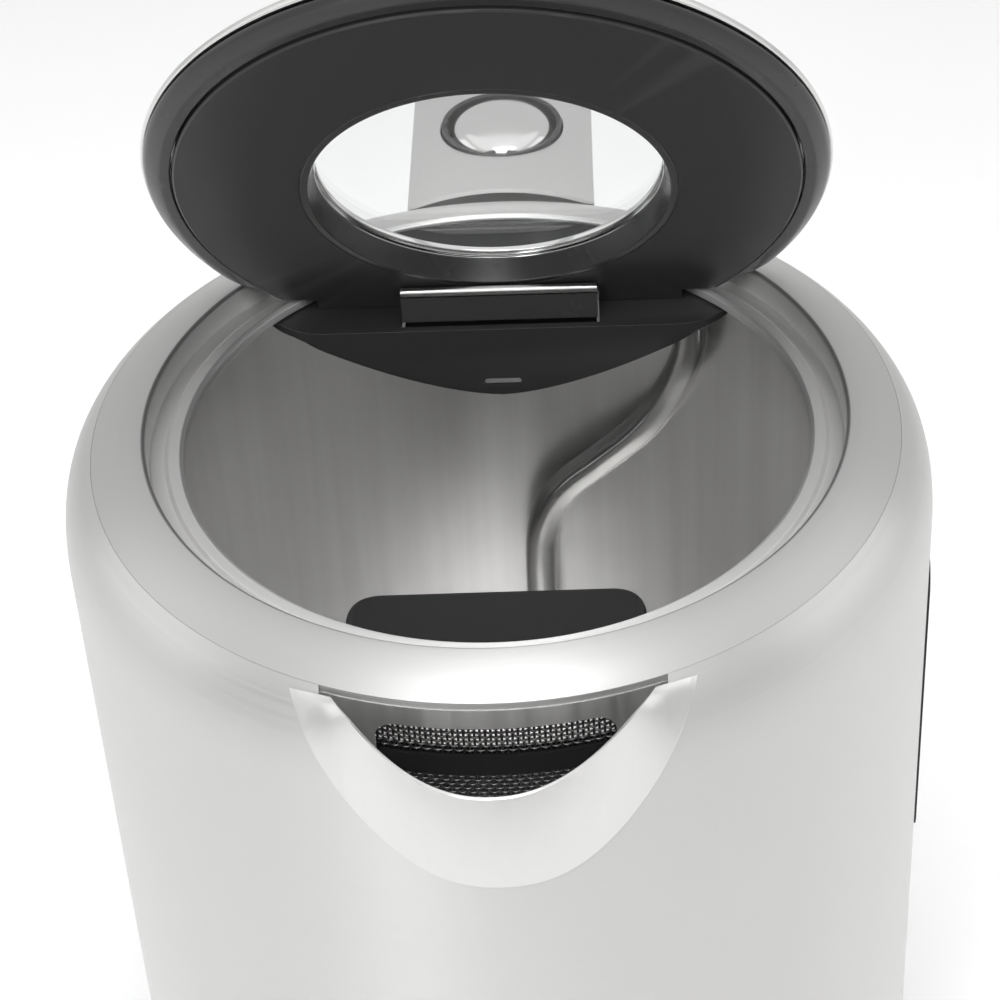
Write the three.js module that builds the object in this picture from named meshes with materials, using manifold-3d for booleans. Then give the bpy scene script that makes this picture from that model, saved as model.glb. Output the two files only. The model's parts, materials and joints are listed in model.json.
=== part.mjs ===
// Cordless electric kettle with its power base, lid open.
// Millimetres, +Z up. The origin is on the kettle's axis, on the surface that the base stands on.
// The spout points along -Y and the handle along +Y.
import * as THREE from 'three';
import { mergeVertices } from 'three/addons/utils/BufferGeometryUtils.js';
import Module from 'manifold-3d';

const wasm = await Module();
wasm.setup();

// ---------------------------------------------------------------- driving dimensions
const RIM_Z = 204; // top of the shoulder above the table
const BODY_R = 76.7; // outer wall radius, carried up to the rim
const BODY_FLARE = 0.025; // the wall widens by this much per millimetre downwards
const BODY_BOTTOM = -166; // lower edge of the steel wall, below the rim
const WALL = 1.4; // steel wall
const GAP = 0.35; // clearance between touching pieces
const SEAM_R = 70.4; // where the shoulder ring meets the wall
const OPENING_R = 55; // filling opening
const RECESS_R = 61; // recess that the lid closes into
const FLOOR_Z = -142.5; // underside of the water chamber's floor, below the rim
const LID_R = 60;
const LID_OPEN = THREE.MathUtils.degToRad(63.5);
const HINGE_Y = 37.6;
const HINGE_Z = -5.6;
const WINDOW_R = 30.7; // clear radius of the lid's window
const BASE_R = 80.4; // power base, without its trim
const BASE_TOP = 21.8;
const TOWER_R = 17; // contact tower in the middle of the base
const HANDLE_W = 37;
const BUTTON_Y = 95.6;
const BUTTON_R = 10.8;
const PIN_R = 1.2; // lid hinge pin
const SWITCH_Y = 72; // pivot of the on-off lever
const SWITCH_Z = 31;
const ROUND = 36; // sides of a large turned piece
const SMALL = 12; // sides of a small turned piece

// ---------------------------------------------------------------- materials
function finish(color, roughness, metalness) {
  return () => new THREE.MeshStandardMaterial({ color, roughness, metalness });
}
const steel = finish(0xc9c8c5, 0.32, 1);
const polished = finish(0xe2e1de, 0.12, 1);
const blackMatte = finish(0x2b2b2c, 0.55, 0);
const blackGloss = finish(0x343435, 0.25, 0);
const brass = finish(0xc8a24a, 0.3, 1);
const aluminium = finish(0xb9babb, 0.4, 1);
const rubber = finish(0x1d1d1d, 0.9, 0);
const clear = () =>
  new THREE.MeshStandardMaterial({ color: 0xf4f8f8, roughness: 0.05, transparent: true, opacity: 0.3 });
const ceramic = finish(0xd8d4c8, 0.7, 0);

// ---------------------------------------------------------------- solids
function signedVolume(position, index) {
  const a = new THREE.Vector3();
  const b = new THREE.Vector3();
  const c = new THREE.Vector3();
  let sum = 0;
  for (let i = 0; i < index.length; i += 3) {
    a.fromArray(position, index[i] * 3);
    b.fromArray(position, index[i + 1] * 3);
    c.fromArray(position, index[i + 2] * 3);
    sum += a.dot(b.cross(c));
  }
  return sum / 6;
}

// A closed geometry as a manifold solid with its faces pointing out.
function solid(geometry) {
  const bare = geometry.clone();
  bare.deleteAttribute('normal');
  bare.deleteAttribute('uv');
  const merged = mergeVertices(bare, 1e-4);
  const position = new Float32Array(merged.attributes.position.array);
  const index = [];
  const all = merged.index.array;
  for (let i = 0; i < all.length; i += 3) {
    const [p, q, r] = [all[i], all[i + 1], all[i + 2]];
    if (p !== q && q !== r && r !== p) index.push(p, q, r);
  }
  if (signedVolume(position, index) < 0) index.reverse();
  const mesh = new wasm.Mesh({ numProp: 3, vertProperties: position, triVerts: new Uint32Array(index) });
  return new wasm.Manifold(mesh);
}

function subtractAll(body, tools) {
  return tools.reduce((left, tool) => left.subtract(tool), body);
}

function addAll(parts) {
  return parts.reduce((sum, part) => sum.add(part));
}

// Named mesh of a solid.
function piece(name, shape, material) {
  const mesh = shape.getMesh();
  const geometry = new THREE.BufferGeometry();
  geometry.setAttribute('position', new THREE.BufferAttribute(new Float32Array(mesh.vertProperties), 3));
  geometry.setIndex(new THREE.BufferAttribute(new Uint32Array(mesh.triVerts), 1));
  geometry.computeVertexNormals();
  const node = new THREE.Mesh(geometry, material());
  node.name = name;
  return node;
}

// Turned solid about +Z from [radius, z] points. A profile off the axis closes on itself.
function turned(points, segments = ROUND) {
  const offAxis = points[0][0] > 0;
  const loop = offAxis ? [...points, points[0]] : points;
  const geometry = new THREE.LatheGeometry(loop.map(([r, z]) => new THREE.Vector2(r, z)), segments);
  return solid(geometry.rotateX(Math.PI / 2));
}

const AXES = {
  x: [new THREE.Vector3(0, 1, 0), new THREE.Vector3(0, 0, 1), new THREE.Vector3(1, 0, 0)],
  y: [new THREE.Vector3(-1, 0, 0), new THREE.Vector3(0, 0, 1), new THREE.Vector3(0, 1, 0)],
  z: [new THREE.Vector3(1, 0, 0), new THREE.Vector3(0, 1, 0), new THREE.Vector3(0, 0, 1)],
};

// Shape extruded along an axis from low to high. Across x it is drawn in (y, z), across y in (-x, z)
// and across z in (x, y).
function prism(shape, axis, low, high, curveSegments = 3) {
  const options = { depth: high - low, bevelEnabled: false, curveSegments };
  const geometry = new THREE.ExtrudeGeometry(shape, options).translate(0, 0, low);
  return solid(geometry.applyMatrix4(new THREE.Matrix4().makeBasis(...AXES[axis])));
}

function polygon(points) {
  return new THREE.Shape(points.map(([x, y]) => new THREE.Vector2(x, y)));
}

function box(low, high) {
  const size = high.map((value, i) => value - low[i]);
  const geometry = new THREE.BoxGeometry(...size);
  return solid(geometry.translate(...high.map((value, i) => (value + low[i]) / 2)));
}

function cylinder(radius, axis, low, high, at = [0, 0, 0], segments = SMALL) {
  const geometry = new THREE.CylinderGeometry(radius, radius, high - low, segments);
  geometry.translate(0, (high + low) / 2, 0);
  if (axis === 'z') geometry.rotateX(Math.PI / 2);
  if (axis === 'x') geometry.rotateZ(-Math.PI / 2);
  return solid(geometry.translate(...at));
}

function roundedBox(width, height, radius, centreY = 0) {
  const shape = new THREE.Shape();
  const [x, y] = [width / 2, height / 2];
  shape.moveTo(-x + radius, centreY - y);
  shape.lineTo(x - radius, centreY - y);
  shape.absarc(x - radius, centreY - y + radius, radius, -Math.PI / 2, 0);
  shape.lineTo(x, centreY + y - radius);
  shape.absarc(x - radius, centreY + y - radius, radius, 0, Math.PI / 2);
  shape.lineTo(-x + radius, centreY + y);
  shape.absarc(-x + radius, centreY + y - radius, radius, Math.PI / 2, Math.PI);
  shape.lineTo(-x, centreY - y + radius);
  shape.absarc(-x + radius, centreY - y + radius, radius, Math.PI, 1.5 * Math.PI);
  return shape;
}

// Tube or rod along a curve, with a bore when one is given.
function swept(curve, radius, steps, sides, bore = 0) {
  const section = new THREE.Shape().absarc(0, 0, radius, 0, 2 * Math.PI);
  if (bore > 0) section.holes.push(new THREE.Path().absarc(0, 0, bore, 0, 2 * Math.PI));
  const options = { steps, extrudePath: curve, curveSegments: sides, bevelEnabled: false };
  return solid(new THREE.ExtrudeGeometry(section, options));
}

// A clockwise polygon's points moved inwards by a distance, which is negative to move them out.
function inset(points, distance) {
  return points.map((point, i) => {
    const before = points[(i + points.length - 1) % points.length];
    const after = points[(i + 1) % points.length];
    const edgeIn = new THREE.Vector2(point[0] - before[0], point[1] - before[1]).normalize();
    const edgeOut = new THREE.Vector2(after[0] - point[0], after[1] - point[1]).normalize();
    const turn = edgeIn.clone().add(edgeOut).normalize();
    const reach = distance / Math.max(0.5, turn.dot(edgeIn));
    return [point[0] + turn.y * reach, point[1] - turn.x * reach];
  });
}

// ---------------------------------------------------------------- shared curves
const wallRadius = (z) => BODY_R - BODY_FLARE * z;

// Outer face of the wall from the seam with the shoulder ring down to the straight wall.
const CORNER = [
  [SEAM_R + GAP, -3.1],
  [73.2, -5.2],
  [75.3, -8.4],
  [76.5, -12.2],
  [wallRadius(-17), -17],
];

function bodyRadius(z) {
  for (let i = 1; i < CORNER.length; i += 1) {
    const [[r0, z0], [r1, z1]] = [CORNER[i - 1], CORNER[i]];
    if (z >= z1) return r0 + ((r1 - r0) * (Math.min(z, z0) - z0)) / (z1 - z0);
  }
  return wallRadius(z);
}

// The spout's outline pressed on the wall: u runs from -1 to 1 across it.
const SPOUT = {
  halfWidth: 31.7,
  bottomZ: -37.2,
  topZ: -3.9,
  flarePower: 2.35,
  lipHalfWidth: 25,
  lipFront: 90.2,
  lipDepth: 22.6,
  lipPower: 2.12,
  lipZ: -3.6,
  hollow: 2.2,
  sheet: 1,
};

const MOUTH_HALF = 28.5; // half width of the hole in the wall behind the spout

function flareHeight(u) {
  return SPOUT.bottomZ + (SPOUT.topZ - SPOUT.bottomZ) * Math.abs(u) ** SPOUT.flarePower;
}

function flarePoint(u) {
  const z = flareHeight(u);
  const x = SPOUT.halfWidth * u;
  const r = bodyRadius(z) + GAP + SPOUT.sheet + 0.65;
  return new THREE.Vector3(x, -Math.sqrt(r * r - x * x), z);
}

function lipPoint(u) {
  const y = SPOUT.lipFront - SPOUT.lipDepth * Math.abs(u) ** SPOUT.lipPower;
  return new THREE.Vector3(SPOUT.lipHalfWidth * u, -y, SPOUT.lipZ);
}

// ---------------------------------------------------------------- power base
function makeBase() {
  const bossPlaces = [30, 150, 270].map((a) => THREE.MathUtils.degToRad(a));
  const screwAt = (a) => [50 * Math.cos(a), 50 * Math.sin(a), 0];
  const cover = turned([[0, 0], [28, 0], [28, 3], [78.4, 3], [78.4, 4.8], [0, 4.8]]);
  const shell = turned([
    [BASE_R, 3.2],
    [BASE_R, 14],
    [79, 18.5],
    [75, 20.8],
    [70, BASE_TOP],
    [58, BASE_TOP],
    [55, 19.6],
    [TOWER_R + 1.3, 19.6],
    [TOWER_R + 1.3, 17.4],
    [54, 17.4],
    [57, 19.6],
    [69, 19.6],
    [74, 18.8],
    [77.2, 16.4],
    [78.8, 13],
    [78.8, 3.2],
  ]);
  const bosses = bossPlaces.map((a) => cylinder(4, 'z', 5.1, 18.4, screwAt(a), 8));
  const screwHoles = bossPlaces.map((a) => cylinder(2, 'z', -1, 12, screwAt(a), 8));
  const inletZ = 9.9;
  const inletHole = cylinder(4.9, 'y', 70, 90, [0, 0, inletZ], 16);
  const trim = turned([[80.75, 5], [81.9, 5.4], [81.9, 11.6], [80.75, 12]]);
  const grommet = cylinder(4.5, 'y', 77, 84.5, [0, 0, inletZ], 16);
  const tower = turned([
    [0, 5.1],
    [17.9, 5.1],
    [17.9, 22.6],
    [TOWER_R, 23],
    [TOWER_R, 33.5],
    [12.4, 33.5],
    [12.4, 26],
    [8.6, 26],
    [8.6, 33.5],
    [3.4, 33.5],
    [3.4, 24],
    [0, 24],
  ], 24);
  const group = new THREE.Group();
  group.add(
    piece('base_bottom_cover', subtractAll(cover, screwHoles), blackMatte),
    piece('base_top_shell', subtractAll(addAll([shell, ...bosses]), [...screwHoles, inletHole]), blackGloss),
    piece('base_trim_ring', trim.subtract(inletHole), steel),
    piece('cord_inlet_grommet', grommet.subtract(cylinder(3, 'y', 70, 90, [0, 0, inletZ], 12)), rubber),
    piece('connector_tower', tower, blackMatte),
    piece('tower_contact_ring', turned([[9.6, 26.3], [11.4, 26.3], [11.4, 32.5], [9.6, 32.5]], 24), brass),
    piece('tower_contact_pin', turned([[0, 24.3], [2, 24.3], [2, 31.6], [1.2, 33], [0, 33]], 12), brass),
    piece('swivel_collar', turned([[17.4, 23.4], [18.9, 23.4], [18.9, 32.5], [17.4, 32.5]], 32), blackGloss),
  );
  bossPlaces.forEach((a, i) => {
    const head = cylinder(3.2, 'z', 1.4, 2.7, screwAt(a), 8);
    const shank = cylinder(1.6, 'z', 2.7, 11, screwAt(a), 8);
    group.add(piece(`base_screw_${i + 1}`, head.add(shank), steel));
  });
  for (let i = 0; i < 4; i += 1) {
    const a = Math.PI * (0.25 + i / 2);
    const foot = turned([[0, 0], [6, 0], [6.5, 0.6], [6.5, 2.7], [0, 2.7]], SMALL);
    const node = piece(`foot_${i + 1}`, foot, rubber);
    node.position.set(66 * Math.cos(a), 66 * Math.sin(a), 0);
    group.add(node);
  }
  return group;
}

// ---------------------------------------------------------------- kettle, below the water
function makeUnderside() {
  const housing = turned([
    [24.6, 22.15],
    [76, 22.15],
    [80.6, 25.6],
    [80.85, 37.6],
    [78.9, 37.6],
    [78.9, 26.4],
    [75.5, 24.4],
    [24.6, 24.4],
  ]);
  const leverSlot = box([-7, 70, 26.8], [7, 90, 36.8]);
  const connector = turned([[0, 36.5], [19.4, 36.5], [19.4, 22.4], [24.2, 22.4], [24.2, 44], [0, 44]], 24);
  const elementCurve = new THREE.CatmullRomCurve3(
    Array.from({ length: 13 }, (_, i) => {
      const a = THREE.MathUtils.degToRad(105 + (330 * i) / 12);
      return new THREE.Vector3(46 * Math.cos(a), 46 * Math.sin(a), 53.4);
    }),
  );
  const lever = prism(
    polygon([[68, 28.4], [82, 28.8], [97, 27.4], [99, 28.6], [99, 30.4], [82, 33.6], [68, 33.6]]),
    'x', -5.8, 5.8);
  const group = new THREE.Group();
  group.add(
    piece('bottom_housing', housing.subtract(leverSlot), blackMatte),
    piece('kettle_connector', connector, blackMatte),
    piece('heat_plate', turned([[0, 57.4], [62, 57.4], [62, 61], [0, 61]]), aluminium),
    piece('heating_element', swept(elementCurve, 3.4, 22, 3), aluminium),
    piece('boil_dry_thermostat', cylinder(13, 'z', 44.35, 56.9, [0, 0, 0], 16), ceramic),
    piece('steam_switch_body', box([-12, 50, 26], [12, 65.5, 48]), ceramic),
    piece('bimetal_disc', cylinder(9, 'y', 65.9, 66.5, [0, 0, 40.5], 16), brass),
    piece('switch_pivot_pin', cylinder(1.3, 'x', -8.5, 8.5, [0, SWITCH_Y, SWITCH_Z], 12), steel),
    piece('switch_lever', lever.subtract(cylinder(1.7, 'x', -9, 9, [0, SWITCH_Y, SWITCH_Z], 12)), blackGloss),
  );
  return group;
}

// ---------------------------------------------------------------- kettle body, from the rim down
function bodyProfile(offset) {
  return CORNER.map(([r, z]) => [r + offset, z]);
}

function makeBody() {
  const innerCorner = [[75.3, -13], [74, -9.6], [72.2, -6.7], [SEAM_R + GAP, -5]];
  const shellOutline = [
    ...CORNER,
    [wallRadius(BODY_BOTTOM), BODY_BOTTOM],
    [wallRadius(BODY_BOTTOM) - WALL, BODY_BOTTOM],
    [wallRadius(-17) - WALL, -17],
    ...innerCorner,
  ];
  const overlap = 1.8; // the spout's sheet laps the wall by this much
  const steps = 20;
  const mouthOutline = [];
  for (let i = 0; i <= steps; i += 1) {
    const u = MOUTH_HALF * ((2 * i) / steps - 1) / (SPOUT.halfWidth - overlap);
    mouthOutline.push([-(SPOUT.halfWidth - overlap) * u, flareHeight(u) + overlap]);
  }
  mouthOutline.push([-MOUTH_HALF, 5], [MOUTH_HALF, 5]);
  const mouth = prism(polygon(mouthOutline), 'y', -100, -50);
  const screwZ = [-13, -155];
  const screwHoles = screwZ.map((z) => cylinder(2.4, 'y', 70, 100, [0, 0, z], 8));
  const gaugeZ = (GAUGE.top + GAUGE.bottom) / 2;
  const gaugeSlot = prism(
    roundedBox(GAUGE.width, GAUGE.top - GAUGE.bottom, GAUGE.width / 2 - 1, gaugeZ), 'x', -100, 100);
  const shell = subtractAll(turned(shellOutline), [mouth, gaugeSlot, ...screwHoles]);
  const shoulder = turned([
    [SEAM_R, -4.7],
    [SEAM_R, -3.4],
    [69.3, -2.4],
    [66.5, -1.1],
    [63.5, -0.3],
    [61.6, 0],
    [RECESS_R, -0.5],
    [RECESS_R, -5.2],
    [58.2, -5.2],
    [57.5, -4.7],
    [55.6, -4.7],
    [OPENING_R, -5.2],
    [OPENING_R, -7],
    [56.2, -7],
    [56.2, -6.3],
    [62.2, -6.3],
    [62.2, -1.8],
    [66.2, -2.6],
    [68.9, -4],
    [68.9, -4.7],
  ]);
  const tubeHole = cylinder(4.2, 'z', -150, -120, [STEAM_X, STEAM_Y, 0], 12);
  const floorEdge = wallRadius(FLOOR_Z) - WALL - 0.5;
  const floor = turned([
    [0, FLOOR_Z],
    [67, FLOOR_Z],
    [floorEdge - 3, FLOOR_Z + 3],
    [floorEdge, FLOOR_Z + 7],
    [floorEdge - 1.2, FLOOR_Z + 7],
    [floorEdge - 4, FLOOR_Z + 4.2],
    [66.6, FLOOR_Z + 1.2],
    [0, FLOOR_Z + 1.2],
  ]);
  const group = new THREE.Group();
  group.add(
    piece('body_shell', shell, steel),
    piece('shoulder_ring', shoulder, steel),
    piece('inner_floor', floor.subtract(tubeHole), steel),
  );
  screwZ.forEach((z, i) => {
    const head = cylinder(3.6, 'y', 71.4, 73.4, [0, 0, z], 8);
    const shank = cylinder(2, 'y', 73.4, 84, [0, 0, z], 8);
    group.add(piece(['handle_screw_upper', 'handle_screw_lower'][i], head.add(shank), steel));
  });
  return group;
}

// Clear water gauge and its gasket, on both flanks.
const GAUGE = { width: 15, top: -36, bottom: -109 };

function makeGauges() {
  const gaugeZ = (GAUGE.top + GAUGE.bottom) / 2;
  const length = GAUGE.top - GAUGE.bottom;
  const outline = (margin) =>
    roundedBox(GAUGE.width - 2 * margin, length - 2 * margin, GAUGE.width / 2 - 1 - margin, gaugeZ);
  const sheet = (inside, outside) =>
    turned([
      [wallRadius(-20) - inside, -20],
      [wallRadius(-20) + outside, -20],
      [wallRadius(-125) + outside, -125],
      [wallRadius(-125) - inside, -125],
    ]);
  const group = new THREE.Group();
  for (const [side, low, high] of [['right', 60, 90], ['left', -90, -60]]) {
    const frame = prism(outline(GAP), 'x', low, high).subtract(prism(outline(1.4), 'x', low, high));
    const pane = prism(outline(1.4 + GAP), 'x', low, high);
    group.add(
      piece(`gauge_gasket_${side}`, sheet(WALL + 0.5, 0.7).intersect(frame), rubber),
      piece(`gauge_window_${side}`, sheet(WALL + 0.8, 0.3).intersect(pane), clear),
    );
  }
  return group;
}

// ---------------------------------------------------------------- spout and filter
function makeSpoutBeak() {
  const [across, along] = [22, 6];
  const surface = (i, j) => {
    const u = -1 + (2 * i) / across;
    const v = j / along;
    const [foot, lip] = [flarePoint(u), lipPoint(u)];
    const middle = foot.clone().lerp(lip, 0.5);
    middle.y += SPOUT.hollow * (1 - u * u);
    return foot.multiplyScalar((1 - v) ** 2).addScaledVector(middle, 2 * v * (1 - v)).addScaledVector(lip, v * v);
  };
  const outer = [];
  const inner = [];
  for (let j = 0; j <= along; j += 1) {
    for (let i = 0; i <= across; i += 1) {
      const here = surface(i, j);
      const [left, right] = [surface(Math.max(i - 1, 0), j), surface(Math.min(i + 1, across), j)];
      const [down, up] = [surface(i, Math.max(j - 1, 0)), surface(i, Math.min(j + 1, along))];
      const normal = right.sub(left).cross(up.sub(down)).normalize();
      outer.push(here);
      inner.push(here.clone().addScaledVector(normal, -SPOUT.sheet));
    }
  }
  const row = across + 1;
  const index = [];
  const quad = (a, b, c, d) => index.push(a, b, c, a, c, d);
  const back = outer.length;
  for (let j = 0; j < along; j += 1) {
    for (let i = 0; i < across; i += 1) {
      const p = j * row + i;
      quad(p, p + 1, p + row + 1, p + row);
      quad(back + p, back + p + row, back + p + row + 1, back + p + 1);
    }
  }
  for (let i = 0; i < across; i += 1) {
    const top = along * row + i;
    quad(i, back + i, back + i + 1, i + 1);
    quad(top, top + 1, back + top + 1, back + top);
  }
  for (let j = 0; j < along; j += 1) {
    const [left, right] = [j * row, j * row + across];
    quad(left, left + row, back + left + row, back + left);
    quad(right, back + right, back + right + row, right + row);
  }
  const geometry = new THREE.BufferGeometry().setFromPoints([...outer, ...inner]);
  geometry.setIndex(index);
  return piece('spout_beak', solid(geometry), steel);
}

const POUR = { halfWidth: 18.9, top: -8.6, bottom: -29, radius: 3.5 };

function makeSpoutBackWall() {
  const plate = turned([[70, -5.1], [70.9, -5.1], [70.9, -14.2], [74.6, -14.2], [74.6, -40], [70, -40]]);
  const pocket = turned([[70.9, -12], [80, -12], [80, -37.5], [70.9, -37.5]]);
  const keep = box([-31.5, -90, -50], [31.5, -30, -14]).add(box([-27.6, -90, -20], [27.6, -30, 0]));
  const holeShape = roundedBox(2 * POUR.halfWidth, POUR.top - POUR.bottom, POUR.radius, (POUR.top + POUR.bottom) / 2);
  const hole = prism(holeShape, 'y', -90, -50);
  const wall = plate.intersect(keep).subtract(pocket.intersect(box([-28.5, -90, -50], [28.5, -30, 0])));
  return piece('spout_back_wall', wall.subtract(hole), steel);
}

const FILTER = { front: 69.6, back: 39.8, halfWidth: 24.5, top: -7.4, bottom: -52, wall: 2 };

function makeFilter() {
  const plan = (front, halfWidth, back, corner) => {
    const angle = Math.asin(halfWidth / front);
    const shape = new THREE.Shape();
    shape.moveTo(halfWidth, -front * Math.cos(angle));
    shape.lineTo(halfWidth, -back - corner);
    shape.quadraticCurveTo(halfWidth, -back, halfWidth - corner, -back);
    shape.lineTo(-halfWidth + corner, -back);
    shape.quadraticCurveTo(-halfWidth, -back, -halfWidth, -back - corner);
    shape.lineTo(-halfWidth, -front * Math.cos(angle));
    shape.absarc(0, 0, front, -Math.PI / 2 - angle, -Math.PI / 2 + angle);
    return shape;
  };
  const { front, back, halfWidth, top, bottom, wall } = FILTER;
  const block = prism(plan(front, halfWidth, back, 3.5), 'z', bottom, top);
  const cavity = prism(plan(front - wall, halfWidth - wall, back - 5, 0.5), 'z', bottom + wall, top - wall);
  const rows = [[-15.9, -9.3], [-46, -20.1]];
  const windows = rows.map(([low, high]) => box([-20, -80, low], [20, -60, high]));
  const screens = rows.map(([low, high], i) => {
    const sheet = turned([[68.7, low + GAP], [69.45, low + GAP], [69.45, high - GAP], [68.7, high - GAP]]);
    const screen = sheet.intersect(box([-19.6, -80, -60], [19.6, -60, 0]));
    return piece(['filter_mesh_lower', 'filter_mesh_upper'][1 - i], screen, steel);
  });
  const group = new THREE.Group();
  group.add(piece('filter_frame', subtractAll(block, [cavity, ...windows]), blackMatte), ...screens);
  return group;
}

// ---------------------------------------------------------------- steam path
const STEAM_X = 4.4;
const STEAM_Y = 72.3;

function makeSteamTube() {
  const path = new THREE.CatmullRomCurve3([
    new THREE.Vector3(36.6, 60.6, -10.5),
    new THREE.Vector3(37.4, 61.8, -33),
    new THREE.Vector3(33, 65, -49),
    new THREE.Vector3(27, 67.2, -60),
    new THREE.Vector3(18.3, 70, -70.5),
    new THREE.Vector3(10.5, 71.4, -79),
    new THREE.Vector3(5.8, 72.1, -89),
    new THREE.Vector3(STEAM_X, STEAM_Y, -101),
    new THREE.Vector3(STEAM_X, STEAM_Y, -125),
    new THREE.Vector3(STEAM_X, STEAM_Y, -150),
  ]);
  return piece('steam_tube', swept(path, 3.4, 18, 4, 2.4), steel);
}

// ---------------------------------------------------------------- hinge area
const COVER = { front: 32.2, top: -7.4, bottom: -22.8, sheet: 1.6, lip: 1.5, pocketHalf: 19.2 };

function makeHingeCover() {
  const plan = (margin) => {
    const shape = new THREE.Shape();
    const front = COVER.front + margin;
    shape.moveTo(-33, front);
    shape.lineTo(33, front);
    shape.quadraticCurveTo(41 - margin, front, 46 - margin, 42);
    shape.lineTo(51, 46);
    shape.absarc(0, 0, 68.7, Math.atan2(46, 51), Math.PI - Math.atan2(46, 51));
    shape.lineTo(-46 + margin, 42);
    shape.quadraticCurveTo(-41 + margin, front, -33, front);
    return shape;
  };
  const smile = [];
  const half = 52;
  for (let i = 0; i <= 24; i += 1) {
    const x = -half + (2 * half * i) / 24;
    const lift = 13.7 * (Math.abs(x) / 37.7) ** 1.6;
    smile.push([x, Math.min(COVER.bottom + lift, COVER.top - COVER.sheet)]);
  }
  smile.push([half, 0], [-half, 0]);
  const block = prism(plan(0), 'z', COVER.bottom, COVER.top);
  const hollow = prism(plan(COVER.sheet), 'z', COVER.bottom - 1, COVER.top - COVER.sheet);
  const behind = box([-60, 46, -40], [60, 80, COVER.top - COVER.sheet]);
  const pocket = box([-COVER.pocketHalf, COVER.front + COVER.lip, -12], [COVER.pocketHalf, 46, 0]);
  const slot = prism(roundedBox(7, 1.2, 0.5, -19.7), 'y', 20, 40);
  const apron = block.intersect(prism(polygon(smile), 'y', 0, 80));
  return piece('hinge_cover', subtractAll(apron, [hollow, behind, pocket, slot]), blackMatte);
}

function makeHingeHardware() {
  const at = [0, HINGE_Y, HINGE_Z];
  const plate = box([-18.2, COVER.front + COVER.lip + 1, -11.2], [18.2, 45.5, -9.8]);
  // Two lugs between the knuckle's barrels, each a boss on a stem that stands behind the knuckle's face.
  const lug = (x) =>
    cylinder(2.2, 'x', x, x + 2.2, at, 16).add(box([x, HINGE_Y + 0.6, -11], [x + 2.2, HINGE_Y + 2.2, HINGE_Z]));
  const bracket = addAll([plate, lug(4.4), lug(-6.6)]).subtract(cylinder(PIN_R + GAP, 'x', -30, 30, at, 12));
  const turns = 4;
  const coil = new THREE.CatmullRomCurve3(
    Array.from({ length: turns * 8 + 1 }, (_, i) => {
      const a = (i / 8) * 2 * Math.PI;
      return new THREE.Vector3(-4 + i / turns, HINGE_Y + 1.8 * Math.cos(a), HINGE_Z + 1.8 * Math.sin(a));
    }),
  );
  const deck = turned([[0, -4.3], [60.4, -4.3], [60.4, -0.7], [60, -0.4], [0, -0.4]]);
  const latch = box([-5, 45, -7], [5, 50.5, -4.7]);
  const group = new THREE.Group();
  group.add(
    piece('hinge_bracket', bracket, steel),
    piece('hinge_pin', cylinder(PIN_R, 'x', -18, 18, at, 12), steel),
    piece('hinge_spring', swept(coil, 0.32, turns * 7, 2), steel),
    piece('rear_deck', deck.intersect(box([-60, 45.8, -10], [60, 70, 5])), blackMatte),
    piece('lid_latch', latch, steel),
  );
  return group;
}

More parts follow.
